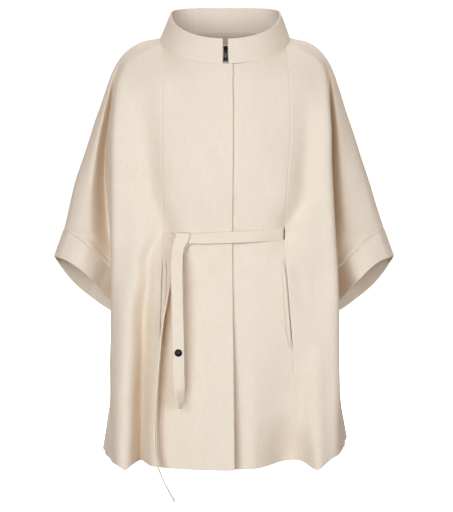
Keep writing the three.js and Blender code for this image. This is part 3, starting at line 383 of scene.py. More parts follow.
def front_shift(us, p):
    """Where the large folds and the pull of the belt's slots move the front's cloth."""
    fade = ramp(FOLDS_END, FOLDS_FULL, np.abs(us))
    dy = np.zeros(p.shape[:2])
    dz = np.zeros(p.shape[:2])
    for width, drop, knots in FOLDS:
        z, x, depth = np.array(knots, float).T
        at = np.interp(-p[..., 2], -z, np.arange(len(z)))
        i = np.minimum(at.astype(int), len(z) - 2)
        t = ease(at - i)
        weight = np.exp(-((p[..., 0] - lerp(x[i], x[i + 1], t)) / width) ** 2)
        dy += lerp(depth[i], depth[i + 1], t) * weight
        dz -= drop * weight * ramp(DROP_TOP, LOW, p[..., 2])
    for sx, sz in ((SLOT_X, SLOT_LEFT), (-SLOT_X, SLOT_RIGHT)):
        d = np.hypot(p[..., 0] - sx, (p[..., 2] - sz) * 0.8) / SLOT_REACH
        dy += SLOT_DEPTH * np.exp(-d * d)
    return np.stack([np.zeros_like(dy), dy * fade, dz * fade], axis=-1)


def front_at(us, vs):
    """Middle of the front's cloth. us has a row for each of vs, from -10 to 10."""
    p = through(rows(vs)[0], us + 11)
    return p + front_shift(us, p)


def back_at(us, vs):
    """Middle of the back's cloth, from 0 to 16, with its shallow flutes."""
    p = through(rows(vs)[1], us + 1)
    across = ramp(2.5, 5, np.minimum(us, BACK_END - us))
    down = ramp(FLUTE_TOP, FLUTE_LOW, p[..., 2])
    p[..., 1] += FLUTE_DEPTH * across * down * np.cos(2 * math.pi * p[..., 0] / FLUTE_PITCH)
    return p


def facing(at, us, vs):
    """Points of the cloth and the ways out of it, from small steps to both sides."""
    h = 0.02
    across = at(us + h, vs) - at(us - h, vs)
    down = at(us, np.minimum(vs + h, HEM)) - at(us, np.maximum(vs - h, 0))
    return at(us, vs), unit(np.cross(down, across))


def fronts(us, vs, under):
    """The front's two layers at the closure: the flap, and the front that runs under it."""
    spread = NECK_SPREAD * ramp(0.8, 0, vs)[:, None] * ramp(1, 0.4, us)
    p, n = facing(front_at, np.where(us > 0, us * (1 - spread), us), vs)
    x, z = p[..., 0], p[..., 2]
    lift = FLAP_LIFT * 0.5 * ramp(LIFT_TOP, LOW, z)
    if under:
        depth = -(UNDER_DEPTH + UNDER_EASE * ramp(*DRAPE_IN, z) + lift) * ramp(*UNDER_SPAN, x)
    else:
        depth = lift * ramp(*FLAP_SPAN, x)
    return p + n * depth[..., None], n


# Fine drape: shallow waves that a soft cloth has everywhere, as depth, wave and slope
WAVES = [
    (0.55, (0.050, 0.000, 0.011), 0.3), (0.45, (0.031, 0.020, -0.016), 1.9),
    (0.35, (0.074, -0.030, 0.021), 4.1), (0.25, (0.023, 0.050, 0.047), 2.6),
    (0.18, (0.110, 0.060, -0.035), 5.2)]
# Creases: from, to, width and depth in mm. A depth above zero is a ridge.
CREASES = [
    ((154, -312), (118, -366), 9, -2.6), ((150, -330), (112, -372), 8, 2.0),
    ((88, -235), (30, -352), 26, -3.2), ((60, -300), (16, -366), 13, 2.0),
    ((148, -430), (164, -505), 8, 1.6), ((134, -425), (150, -520), 9, -1.2),
    ((-122, -395), (-150, -480), 12, 1.6), ((-136, -392), (-158, -440), 9, -1.5),
    ((-40, -400), (-58, -470), 9, -1.0), ((-20, -398), (-26, -450), 8, 0.9),
    ((40, -392), (52, -440), 9, -0.9), ((70, -392), (84, -448), 8, 0.8),
    ((-60, -300), (-96, -366), 12, 1.4), ((-30, -320), (-60, -368), 10, -1.0),
    ((-190, -120), (-176, -330), 16, -2.4), ((-118, -392), (-96, -410), 4, -0.8),
    ((60, -560), (66, -800), 26, -2.6)]
DIMPLE = (0.0, -438.0, 5.0, 1.1)


def segment_share(x, z, a, b):
    """Distance from the line a to b, and how far along it, for places on the front."""
    ax, az, bx, bz = *a, *b
    length = math.hypot(bx - ax, bz - az)
    dx, dz = (bx - ax) / length, (bz - az) / length
    along = (x - ax) * dx + (z - az) * dz
    off = np.abs((x - ax) * -dz + (z - az) * dx)
    return off, along / length


def drape(p, n):
    """How far the fine drape moves the cloth along its own way out, in mm."""
    depth = np.zeros(p.shape[:-1])
    for size, wave, phase in WAVES:
        depth += size * np.sin(p @ np.array(wave) + phase)
    x, y, z = p[..., 0], p[..., 1], p[..., 2]
    ahead = (y < -40) & (n[..., 1] < 0)
    for a, b, width, size in CREASES:
        off, share = segment_share(x, z, a, b)
        ends = np.clip(share, 0, 1) * (1 - np.clip(share, 0, 1)) * 4
        depth += np.where(ahead, size * ends ** 0.7 * np.exp(-(off / width) ** 2), 0)
    dx, dz, width, size = DIMPLE
    depth -= np.where(ahead, size * np.exp(-(((x - dx) ** 2 + (z - dz) ** 2) / width ** 2)), 0)
    return depth * ramp(*DRAPE_IN, z)


def arc(p, axis):
    """Lengths along the rows or columns of a grid of points, from their start."""
    steps = np.linalg.norm(np.diff(p, axis=axis), axis=-1)
    start = np.zeros_like(np.take(steps, [0], axis=axis))
    return np.concatenate([start, np.cumsum(steps, axis=axis)], axis=axis)


EDGE_STEPS = (0.0, 0.18, 0.5, 0.95, 1.4, 2.4, 4.2)


def edge_to_edge(height, count):
    """Shares of a height from 0 to 1, with close steps of real length at both ends."""
    close = np.array(EDGE_STEPS[:6]) / height
    return np.concatenate([close, np.linspace(close[-1], 1 - close[-1], count)[1:-1],
                           1 - close[::-1]])


def parting(z, side):
    """How far a princess seam's edge stands back at the belt's slot and at the pocket, in mm."""
    slot = SLOT_LEFT if side > 0 else SLOT_RIGHT
    pocket = (z - (POCKET_TOP + POCKET_BOTTOM) / 2) / ((POCKET_TOP - POCKET_BOTTOM) / 2)
    opened = SLOT_OPEN * (1 if side > 0 else RIGHT_SLOT_SHARE)
    return opened * np.exp(-((z - slot) / SLOT_HALF) ** 8) + POCKET_OPEN * np.exp(-pocket ** 8)


def columns(at, vs, start, end, count):
    """u for every row from start to end, with close steps of real length at both edges."""
    first = np.full((len(vs), 1), start, float)
    last = np.full((len(vs), 1), end, float)
    h = 0.03
    near = np.linalg.norm(at(first + h, vs) - at(first, vs), axis=-1) / h
    far = np.linalg.norm(at(last, vs) - at(last - h, vs), axis=-1) / h
    if abs(start) == SEAM:
        first = first + parting(at(first, vs)[..., 2], np.sign(start)) / near
        start = first
    if abs(end) == SEAM:
        last = last - parting(at(last, vs)[..., 2], np.sign(end)) / far
        end = last
    steps = np.array(EDGE_STEPS)
    head = start + steps / np.maximum(near, 8)
    tail = end - steps[::-1] / np.maximum(far, 8)
    t = np.linspace(0, 1, count + 2)[1:-1]
    middle = head[:, -1:] + (tail[:, :1] - head[:, -1:]) * t
    return np.concatenate([head, middle, tail], axis=1)


def body_rows(per_level):
    """Rows of the body from neck to hem, closer beside the arm openings and at both edges."""
    counts = [per_level] * HEM
    counts[BAND] *= 2
    out = np.array([0.0] + [k + (i + 1) / count for k, count in enumerate(counts)
                            for i in range(count)])
    for edge, sign, level in ((0, 1, NECK_LEVEL), (HEM, -1, HEM_LEVEL)):
        keep = np.abs(out - edge) > EDGE_STEPS[-1] * 1.3 / level
        out = np.concatenate([out[keep], edge + sign * np.array(EDGE_STEPS) / level])
    return np.unique(np.round(out, 6))


def edge_share(distance, kind):
    """Share of the full thickness near an edge: round at an open one, pinched at a seam."""
    if kind == "open":
        t = np.clip(distance / 1.5, 0, 1)
        return np.maximum(np.sqrt(1 - (1 - t) ** 2), 0.12)
    if kind == "seam":
        return 1 - 0.42 * np.exp(-(distance / 1.25) ** 2)
    return np.ones_like(distance)


def thinning(width, length, start="open", end="open", top="open", bottom="open"):
    """Share of the full thickness all over a piece, from how its four edges end."""
    share = edge_share(width, start)
    share = np.minimum(share, edge_share(width[:, -1:] - width, end))
    share = np.minimum(share, edge_share(length, top))
    return np.minimum(share, edge_share(length[-1:] - length, bottom))


def wall_mesh(name, p, n, half, closed=False):
    """A closed wall on a grid of points, with half its thickness each way, and its UV map."""
    down, across = p.shape[:2]
    offset = n * np.broadcast_to(half, p.shape[:2])[..., None]
    places = np.concatenate([(p + offset).reshape(-1, 3), (p - offset).reshape(-1, 3)]) * MM
    ids = np.arange(down * across).reshape(down, across)
    if closed:
        ids = np.concatenate([ids, ids[:, :1]], axis=1)
    inner = ids + down * across
    a, b, c, d = ids[:-1, :-1], ids[1:, :-1], ids[1:, 1:], ids[:-1, 1:]
    faces = [np.stack([a, b, c, d], -1).reshape(-1, 4),
             np.stack([a, d, c, b], -1).reshape(-1, 4) + down * across]
    faces.append(np.stack([ids[0, :-1], ids[0, 1:], inner[0, 1:], inner[0, :-1]], -1))
    faces.append(np.stack([ids[-1, 1:], ids[-1, :-1], inner[-1, :-1], inner[-1, 1:]], -1))
    if not closed:
        faces.append(np.stack([ids[:-1, 0], inner[:-1, 0], inner[1:, 0], ids[1:, 0]], -1))
        faces.append(np.stack([ids[:-1, -1], ids[1:, -1], inner[1:, -1], inner[:-1, -1]], -1))
    faces = np.concatenate(faces)
    mesh = bpy.data.meshes.new(name)
    mesh.from_pydata(places.tolist(), [], faces.tolist())
    width, length = arc(p, 1), arc(p, 0)
    middle = width[:, -1:] / 2
    uv = np.stack([width - middle, -length], -1).reshape(-1, 2) * MM
    uv = np.concatenate([uv, uv])
    layer = mesh.uv_layers.new(name="Cloth")
    corners = np.empty(len(mesh.loops), int)
    mesh.loops.foreach_get("vertex_index", corners)
    layer.data.foreach_set("uv", uv[corners].ravel().astype(np.float32))
    mesh.polygons.foreach_set("use_smooth", [True] * len(mesh.polygons))
    mesh.update()
    obj = bpy.data.objects.new(name, mesh)
    bpy.context.scene.collection.objects.link(obj)
    return outwards(obj)


def outwards(obj):
    """Turn a closed mesh's faces out."""
    mesh = obj.data
    work = bmesh.new()
    work.from_mesh(mesh)
    if work.calc_volume(signed=True) < 0:
        bmesh.ops.reverse_faces(work, faces=work.faces)
        work.to_mesh(mesh)
    work.free()
    return obj


def sheet(obj, node_name, flat, slot="cashmere", kind="cashmere", held="hung", **cut):
    """Hide a cloth piece's solid, put the piece on the cape's body and give it its material."""
    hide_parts(node_name)
    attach(obj, "cape")
    dress(obj, kind)


def flat_area(obj, flat):
    """The area the piece was cut to: half the surface of its mesh, within its width and length."""
    area = sum(face.area for face in obj.data.polygons) / 2
    return max(area, 0.31 * flat[0] * flat[1])


def as_sheet(obj, p, node_name):
    """Pass a cloth piece on to sheet, with its size measured on its middle surface."""
    flat = (float(arc(p, 1)[:, -1].max()) * MM, float(arc(p, 0)[-1].max()) * MM)
    sheet(obj, node_name, flat, area=min(flat_area(obj, flat), flat[0] * flat[1]))


def panel(node_name, at, us, vs, shape=None, **edges):
    """One cut piece of the body: rows vs and columns us of the form, with its fine drape."""
    p, n = shape(us, vs) if shape else facing(at, us, vs)
    p = p + n * drape(p, n)[..., None]
    share = thinning(arc(p, 1), arc(p, 0), **edges)
    as_sheet(wall_mesh(f"{node_name}_cloth", p, n, HALF * SLACK * share), p, node_name)


def linear(hex_code):
    """A colour written as sRGB hex, as the linear values that Blender's sockets take."""
    out = []
    for i in (0, 2, 4):
        c = int(hex_code[i:i + 2], 16) / 255
        out.append(c / 12.92 if c <= 0.04045 else ((c + 0.055) / 1.055) ** 2.4)
    return (*out, 1.0)


def node(tree, kind, links=(), **settings):
    """Add one node, set its own settings and its sockets' values, and link what feeds it."""
    made = tree.nodes.new(kind)
    for key, value in settings.items():
        if hasattr(made, key):
            setattr(made, key, value)
        else:
            made.inputs[key.replace("_", " ")].default_value = value
    for socket, source in links:
        tree.links.new(source, made.inputs[socket])
    return made


def new_material(name):
    """An empty material and its node tree."""
    material = bpy.data.materials.new(name)
    material.use_nodes = True
    tree = material.node_tree
    tree.nodes.clear()
    return material, tree


def tone(tree, factor, stops):
    """A colour ramp of hex colours."""
    ramp_node = node(tree, "ShaderNodeValToRGB", [("Fac", factor)])
    band = ramp_node.color_ramp
    while len(band.elements) < len(stops):
        band.elements.new(0.5)
    for element, (place, code) in zip(band.elements, stops):
        element.position = place
        element.color = linear(code)
    return ramp_node.outputs["Color"]


def multiplied(tree, factor, a, b):
    """One colour darkened by another, by a share of it."""
    mix = node(tree, "ShaderNodeMix", data_type="RGBA", blend_type="MULTIPLY")
    mix.inputs[0].default_value = factor
    tree.links.new(a, mix.inputs[6])
    tree.links.new(b, mix.inputs[7])
    return mix.outputs[2]


def surface(made, colour, relief=None, links=(), **settings):
    """A material's shader, from its colour, its relief (height, share, depth) and its values."""
    material, tree = made
    feeds = [("Base Color", colour), *links]
    if relief:
        height, share, depth = relief
        bump = node(tree, "ShaderNodeBump", [("Height", height)], Strength=share, Distance=depth)
        feeds.append(("Normal", bump.outputs["Normal"]))
    shader = node(tree, "ShaderNodeBsdfPrincipled", feeds, **settings)
    node(tree, "ShaderNodeOutputMaterial", [("Surface", shader.outputs["BSDF"])])
    return material


def noise(tree, place, size_mm, detail):
    """Soft noise whose patches are size_mm wide, on coordinates in metres."""
    return node(tree, "ShaderNodeTexNoise", [("Vector", place)], Scale=1000 / size_mm,
                Detail=detail).outputs["Fac"]


# Doubled cashmere: two soft plies with a brushed, steamed nap that lies down the length. The
# eye sees a matte, slightly cloudy cream with fine streaks and a soft bright rim.
def brushed_cashmere(settings):
    material, tree = new_material("Brushed doubled cashmere")
    place = node(tree, "ShaderNodeTexCoord").outputs["UV"]

    def pattern(across_mm, along_mm, detail):
        scaled = node(tree, "ShaderNodeMapping", [("Vector", place)], vector_type="POINT")
        scaled.inputs["Scale"].default_value = (1000 / across_mm, 1000 / along_mm, 1)
        return node(tree, "ShaderNodeTexNoise", [("Vector", scaled.outputs["Vector"])],
                    Scale=1.0, Detail=detail, Roughness=0.55).outputs["Fac"]

    # Real nap fibres are 0.02 mm wide. They are drawn as tufts 1.1 mm wide, so that they show.
    tufts = pattern(1.1, 5.5, 3.0)
    lay = pattern(7.0, 26.0, 2.0)
    cloud = pattern(42.0, 60.0, 2.0)
    base = tone(tree, cloud, [(0.3, settings.shade_hex), (0.7, settings.cloth_hex)])
    streaks = tone(tree, tufts, [(0.3, "F3EFE9"), (0.7, "FFFFFF")])
    brushed = tone(tree, lay, [(0.3, "FAF7F3"), (0.7, "FFFFFF")])
    colour = multiplied(tree, settings.nap, base, streaks)
    colour = multiplied(tree, 0.5, colour, brushed)
    heights = node(tree, "ShaderNodeMath", [(0, tufts), (1, lay)], operation="ADD")
    return surface((material, tree), colour, (heights.outputs[0], 0.15, 0.0004),
                   Roughness=0.93, Metallic=0.0, Specular_IOR_Level=0.22, Sheen_Weight=0.22,
                   Sheen_Roughness=0.45, Sheen_Tint=linear("F4EADB"))


# Zip tape: herringbone-woven polyester, flat and close. The eye sees fine slanting ribs.
def woven_tape(settings):
    material, tree = new_material("Woven zip tape")
    place = node(tree, "ShaderNodeTexCoord").outputs["UV"]
    # Ribs 0.8 mm apart, a little coarser than the real 0.5 mm, so that they show.
    ribs = node(tree, "ShaderNodeTexWave", [("Vector", place)], wave_type="BANDS",
                bands_direction="DIAGONAL", Scale=1000 / 0.8 / (2 * math.pi), Distortion=0.6)
    colour = tone(tree, ribs.outputs["Fac"], [(0.2, "B7A88F"), (0.8, settings.tape_hex)])
    return surface((material, tree), colour, (ribs.outputs["Fac"], 0.4, 0.0002),
                   Roughness=0.8, Sheen_Weight=0.1)


# Die-cast zinc with a black nickel plating, tumbled smooth. The eye sees a dark, soft gloss
# with paler rubbed spots.
def black_nickel(settings):
    material, tree = new_material("Black nickel plate")
    place = node(tree, "ShaderNodeTexCoord").outputs["Object"]
    grain = noise(tree, place, 0.9, 3.0)
    wear = noise(tree, place, 4.0, 2.0)
    colour = tone(tree, wear, [(0.45, settings.metal_hex), (0.85, "3E3937")])
    rough = node(tree, "ShaderNodeMapRange", [("Value", grain)], To_Min=0.24, To_Max=0.42)
    return surface((material, tree), colour, (grain, 0.12, 0.0001),
                   [("Roughness", rough.outputs["Result"])], Metallic=1.0)


# Nylon coil: extruded thread, wound and set. The eye sees smooth, slightly waxy loops.
def nylon_coil(settings):
    material, tree = new_material("Nylon zip coil")
    place = node(tree, "ShaderNodeTexCoord").outputs["Object"]
    colour = tone(tree, noise(tree, place, 1.5, 2.0), [(0.3, "CFC1A8"), (0.7, "DED2BC")])
    return surface((material, tree), colour, Roughness=0.42)


MATERIALS = {}


def dress(obj, kind):
    """Give a piece its material, made on first use."""
    makers = {"cashmere": brushed_cashmere, "tape": woven_tape, "nickel": black_nickel,
              "coil": nylon_coil}
    if kind not in MATERIALS:
        MATERIALS[kind] = makers[kind](bpy.context.scene.cape_finish)
    obj.data.materials.clear()
    obj.data.materials.append(MATERIALS[kind])


class CapeCloth(bpy.types.PropertyGroup):
    rows_per_level: bpy.props.IntProperty(
        name="Rows per level", description="Rows of the cloth's mesh in each level of the form",
        default=20, min=8, max=60)
    columns_per_line: bpy.props.IntProperty(
        name="Columns per line", description="Columns of the cloth's mesh between two lines",
        default=18, min=6, max=60)


class CapeFinish(bpy.types.PropertyGroup):
    cloth_hex: bpy.props.StringProperty(
        name="Cloth", description="The cashmere's colour, as sRGB hex", default="E6D1B5")
    shade_hex: bpy.props.StringProperty(
        name="Cloth, cloudy", description="The cashmere's slightly deeper tone, as sRGB hex",
        default="E4CEB1")
    tape_hex: bpy.props.StringProperty(
        name="Zip tape", description="The zip tape's colour, as sRGB hex", default="D8CBB4")
    metal_hex: bpy.props.StringProperty(
        name="Metal", description="The stud's and the slider's colour, as sRGB hex",
        default="0F0E0E")
    nap: bpy.props.FloatProperty(
        name="Nap", description="How much the brushed streaks show", default=0.55, min=0,
        max=1, subtype="FACTOR")


class CapeStudio(bpy.types.PropertyGroup):
    key_power: bpy.props.FloatProperty(
        name="Key light", description="Power of the large light, upper left", default=130,
        unit="POWER")
    fill_power: bpy.props.FloatProperty(
        name="Fill light", description="Power of the soft light, right", default=79,
        unit="POWER")
    rim_power: bpy.props.FloatProperty(
        name="Top light", description="Power of the light above", default=34, unit="POWER")
    back_power: bpy.props.FloatProperty(
        name="Back light", description="Power of the large light behind", default=110,
        unit="POWER")
    floor_drop: bpy.props.FloatProperty(
        name="Floor", description="Height of the floor under the neck", default=-1.02,
        unit="LENGTH")


class CAPE_OT_fronts(bpy.types.Operator):
    """Cut the two centre fronts: the flap, and the front that runs under it"""
    bl_idname = "cape.fronts"
    bl_label = "Centre fronts"

    def execute(self, context):
        size = context.scene.cape_cloth
        vs = body_rows(size.rows_per_level)
        width = SEAM * size.columns_per_line
        us = columns(front_at, vs, -SEAM, FLAP_EDGE / LINE_MM, int(width * 1.1))
        panel("front_right", front_at, us, vs, lambda u, v: fronts(u, v, False),
              start="seam", top="seam")
        us = columns(front_at, vs, UNDER_EDGE / LINE_MM, SEAM, width)
        panel("front_left", front_at, us, vs, lambda u, v: fronts(u, v, True),
              end="seam", top="seam")
        return {"FINISHED"}


class CAPE_OT_sides(bpy.types.Operator):
    """Cut the two side fronts, from the princess seam to the line over the arm"""
    bl_idname = "cape.sides"
    bl_label = "Side fronts"

    def execute(self, context):
        size = context.scene.cape_cloth
        vs = body_rows(size.rows_per_level)
        for name, side in SIDES:
            start, end = sorted((side * SEAM, side * OVER_ARM))
            us = columns(front_at, vs, start, end, (OVER_ARM - SEAM) * size.columns_per_line)
            panel(f"side_{name}", front_at, us, vs, start="seam", end="seam", top="seam")
        return {"FINISHED"}


class CAPE_OT_back(bpy.types.Operator):
    """Cut the back, in one piece from arm to arm"""
    bl_idname = "cape.back"
    bl_label = "Back"

    def execute(self, context):
        size = context.scene.cape_cloth
        vs = body_rows(size.rows_per_level)
        us = columns(back_at, vs, 0, BACK_END, 12 * size.columns_per_line)
        panel("back", back_at, us, vs, start="seam", end="seam", top="seam")
        return {"FINISHED"}


COLLAR_END_RIGHT, COLLAR_END_LEFT, COLLAR_SLANT = -3.6, 4.8, 3.4
# The rim is a fold, so it is rounder than a cut edge, and the collar waves by a third of a mm.
COLLAR_RIM_ROUND, COLLAR_SOFT = 0.8, 0.35


def collar_rings(count):
    """The collar's base and rim, from its left end round the back to its right end."""
    front = front_at(np.linspace(0, OVER_ARM, count * 2)[1:][None], np.zeros(1))[0]
    back = back_at(np.linspace(0, BACK_END / 2, count)[1:][None], np.zeros(1))[0]
    half = np.concatenate([front, back])
    keep = half[:, 0] > COLLAR_END_LEFT + 1.5
    keep[len(front):] = True
    half = half[keep]
    mirrored = half[-2::-1] * np.array([-1, 1, 1])

    def end(x):
        u = x / LINE_MM
        u *= x / front_at(np.array([[u]]), np.zeros(1))[0, 0, 0]
        return front_at(np.array([[u]]), np.zeros(1))[0]

    close_left = np.concatenate([end(COLLAR_END_LEFT + s) for s in EDGE_STEPS[:5]])
    close_right = np.concatenate([end(COLLAR_END_RIGHT - s) for s in EDGE_STEPS[4::-1]])
    base = np.concatenate([close_left, half, mirrored, close_right])
    rim = []
    for i, p in enumerate(base):
        depth = NECK["front"] if p[1] < 0 else NECK["back"]
        degrees = math.degrees(math.atan2(abs(p[0]) / NECK["half"], -p[1] / depth))
        q = ring_point(RIM, degrees, RIM_SQUARE if p[1] > 0 else 2)
        ends = i < 5 or i >= len(base) - 5
        q[0] = p[0] if ends else math.copysign(q[0], p[0]) + RIM_SHIFT
        rim.append(q)
    return base, np.array(rim)


def collar_grid(count=70):
    """Points and ways out of the collar, from its rim down to the neckline."""
    base, rim = collar_rings(count)
    shares = 1 - edge_to_edge(float(np.linalg.norm(rim[0] - base[0])), 20)
    p = base[None] + (rim - base)[None] * shares[:, None, None]
    ramp_in = np.exp(-np.arange(len(base)) / 2.2)
    p[:, :, 0] += COLLAR_SLANT * (1 - shares)[:, None] * ramp_in[None]
    across = np.gradient(p, axis=1)
    down = np.gradient(p, axis=0)
    return p, unit(np.cross(down, across))


class CAPE_OT_collar(bpy.types.Operator):
    """Set the stand collar on the neckline, with its rim turned over"""
    bl_idname = "cape.collar"
    bl_label = "Collar"

    def execute(self, context):
        p, n = collar_grid()
        width, length = arc(p, 1), arc(p, 0)
        share = np.minimum(thinning(width, length, top=None, bottom="seam"),
                           edge_share(length * COLLAR_RIM_ROUND, "open"))
        soft = COLLAR_SOFT * np.sin(width * 0.045 + 0.8) * np.sin(length / length[-1:] * math.pi)
        as_sheet(wall_mesh("collar_cloth", p + n * soft[..., None], n,
                           COLLAR_HALF * 0.97 * share), p, "collar")
        return {"FINISHED"}


def cuff_grid(side, count=34):
    """Points and ways out of a cuff, from its seam round the arm opening to its edge."""
    ts = np.linspace(0, 1, count + 1)[1:-1]
    front, back = rows(BAND + np.concatenate([[0.0], ts, [1.0]]))
    f_at, b_at = (-2, 1) if side > 0 else (1, -2)
    flip = np.array([side, 1, 1])

    def way(kind, w):
        return (ARM * CUFF_BAND + CUFF[kind][2] * bulge(w)) * flip

    loop = [(front[i, f_at], way("front", w)) for i, w in enumerate([0.0, *ts])]
    loop += [(back[len(ts) + 1, b_at], way("back", 1.0))]
    loop += [(back[i + 1, b_at], way("back", ts[i])) for i in reversed(range(len(ts)))]
    base = np.array([p for p, _ in loop])
    ways = np.array([w for _, w in loop])
    if side > 0:
        base, ways = base[::-1], ways[::-1]
    shares = edge_to_edge(CUFF_BAND, 16)
    p = base[None] + ways[None] * shares[:, None, None]
    across = np.roll(p, -1, axis=1) - np.roll(p, 1, axis=1)
    n = unit(np.cross(np.broadcast_to(ways[None], p.shape), across))
    return p, n


class CAPE_OT_cuffs(bpy.types.Operator):
    """Set a band round each arm opening"""
    bl_idname = "cape.cuffs"
    bl_label = "Cuffs"

    def execute(self, context):
        for name, side in SIDES:
            p, n = cuff_grid(side)
            share = thinning(arc(p, 1), arc(p, 0), start=None, end=None, top="seam")
            as_sheet(wall_mesh(f"cuff_{name}_cloth", p, n, HALF * SLACK * share, closed=True),
                     p, f"cuff_{name}")
        return {"FINISHED"}


LAY = HALF + GAP + STRAP_THICK / 2 + 0.7
PLY = STRAP_THICK + GAP + 0.3
KNOT_X, KNOT_Z, KNOT_Y, KNOT_FOLD = -79.0, -382.0, -136.4, -375.4


def ply(count):
    """Depth of the knot's layers, counted from the cape outwards."""
    return KNOT_Y - count * PLY


# Stops of the straps: x, z, y or height over the cloth, turn in degrees, share of the width
RUN_LEFT = [
    dict(x=117, z=-374, off=-9), dict(x=111, z=-374.5, off=-5.5),
    dict(x=109.4, z=-374.7, off=-1.5), dict(x=108.4, z=-374.8, off=1.6),
    dict(x=107, z=-374.9, off=LAY - 0.5), dict(x=103, z=-375.2, off=LAY),
    dict(x=60, z=-377.2, off=LAY + 0.5),
    dict(x=15, z=-379, off=LAY + 1.2), dict(x=-30, z=-380.5, off=LAY + 2),
    dict(x=-64, z=KNOT_Z - 0.5, y=ply(1), wide=0.8),
    dict(x=-78, z=KNOT_Z - 2.5, y=ply(1), wide=0.86),
    dict(x=-93, z=KNOT_Z - 5, y=ply(1), wide=0.86)]
TAIL_BACK = [
    dict(x=-79, z=-385, y=ply(1)), dict(x=-81.5, z=-396, y=ply(1), turn=2),
    dict(x=-88, z=-408, y=ply(1) + 1, turn=22), dict(x=-97, z=-440, off=14.5, turn=82),
    dict(x=-106, z=-485, off=15, turn=88), dict(x=-117, z=-545, off=19, turn=88),
    dict(x=-125, z=-625, off=20, turn=88), dict(x=-130, z=-700, off=22, turn=89),
    dict(x=-131, z=-755, off=26, turn=90), dict(x=-129.5, z=-786, off=28, turn=90),
    dict(x=-124.6, z=-805, off=29, turn=90), dict(x=-115.4, z=-828, off=30, turn=90),
    dict(x=-103.4, z=-850, off=31, turn=87, wide=0.95),
    dict(x=-91.7, z=-869, off=32, turn=85, wide=0.8)]
RUN_RIGHT = [
    dict(x=-128, z=-376, off=-HALF - GAP - 2), dict(x=-117, z=-378, off=-1.6),
    dict(x=-107, z=-381, off=LAY - 0.9), dict(x=-94, z=-386, off=LAY + 3.4),
    dict(x=-72, z=-388, y=ply(0), wide=0.8)]
TAIL_FRONT = [dict(x=KNOT_X, z=-394, y=ply(0), wide=1.2)] + [
    dict(x=KNOT_X, y=ply(1) + PLY * math.cos(math.radians(a)), wide=1.25,
         z=KNOT_FOLD + PLY * math.sin(math.radians(a))) for a in (0, 45, 90, 135, 180)] + [
    dict(x=KNOT_X - 0.5, z=KNOT_FOLD - 4, y=ply(2), wide=1.2),
    dict(x=-82.5, z=-386, y=ply(2) - 1, wide=1.12),
    dict(x=-87, z=-398, y=ply(2) - 4.4, wide=1.0), dict(x=-89, z=-412, y=ply(2) - 9.6),
    dict(x=-89.5, z=-440, off=31.5), dict(x=-88.5, z=-500, off=33.5),
    dict(x=-87, z=-560, off=32.5), dict(x=-86, z=-620, off=31.5, turn=-4),
    dict(x=-85, z=-650, off=30.5, turn=-20), dict(x=-84, z=-673, off=31, turn=-48),
    dict(x=-83, z=-694, off=31.5, turn=-74)]


class FrontLook:
    """The front's depth at any x and z, read from a close net of its form."""

    def __init__(self):
        self.us = np.linspace(-4.8, 4.8, 193)
        vs = np.linspace(0.3, HEM, 300)
        self.net = front_at(np.broadcast_to(self.us, (len(vs), len(self.us))), vs)

    def depth(self, x, z):
        xs, ys = [], []
        for j in range(len(self.us)):
            line = self.net[:, j]
            xs.append(np.interp(-z, -line[:, 2], line[:, 0]))
            ys.append(np.interp(-z, -line[:, 2], line[:, 1]))
        return float(np.interp(x, xs, ys))


def strap_path(look, stops, each):
    """Middle line of a strap, with the way along it, its turn and its share of the width."""
    points = []
    for s in stops:
        y = s["y"] if "y" in s else look.depth(s["x"], min(max(s["z"], -800), -300)) - s["off"]
        points.append((s["x"], y, s["z"]))
    at = np.linspace(0, len(stops) - 1, (len(stops) - 1) * each + 1)
    p = spline(points, at)
    way = unit(spline(points, np.minimum(at + 0.1, len(stops) - 1))
               - spline(points, np.maximum(at - 0.1, 0)))
    k = np.minimum(at.astype(int), len(stops) - 2)
    t = ease(at - k)
    turn = np.array([s.get("turn", 0) for s in stops], float)
    wide = np.array([s.get("wide", 1) for s in stops], float)
    return p, way, lerp(turn[k], turn[k + 1], t), lerp(wide[k], wide[k + 1], t)


STRAP_STEPS = np.array([0, 0.25, 0.7, 1.3, 2.2, 4, 6.5, 9, 11])


def strap_grid(p, across, wide):
    """Points and ways out of a strap, across its width at every stop."""
    half = STRAP_WIDTH / 2
    places = np.concatenate([-(half - STRAP_STEPS), (half - STRAP_STEPS[-2::-1])])
    grid = p[:, None] + across[:, None] * (places[None, :] * wide[:, None])[..., None]
    down = np.gradient(grid, axis=0)
    n = unit(np.cross(down, np.broadcast_to(across[:, None], grid.shape)))
    return grid, n


def strap(name, look, stops, each, lying):
    """A strap along its stops: one that lies stays upright, and one that hangs may turn."""
    p, way, turn, wide = strap_path(look, stops, each)
    if lying:
        across = np.broadcast_to(np.array([0.0, 0, 1]), p.shape)
    else:
        across = unit(np.array([1.0, 0, 0]) - way * way[:, :1])
        a = np.radians(turn)[:, None]
        across = across * np.cos(a) + np.cross(way, across) * np.sin(a)
    grid, n = strap_grid(p, across, wide)
    share = thinning(arc(grid, 1), arc(grid, 0))
    return wall_mesh(name, grid, n, STRAP_THICK / 2 * share), grid


def joined(name, pieces):
    """Several meshes as one object."""
    bpy.ops.object.select_all(action="DESELECT")
    for piece in pieces:
        piece.select_set(True)
    bpy.context.view_layer.objects.active = pieces[0]
    bpy.ops.object.join()
    made = bpy.context.view_layer.objects.active
    made.name = name
    made.data.name = name
    return made


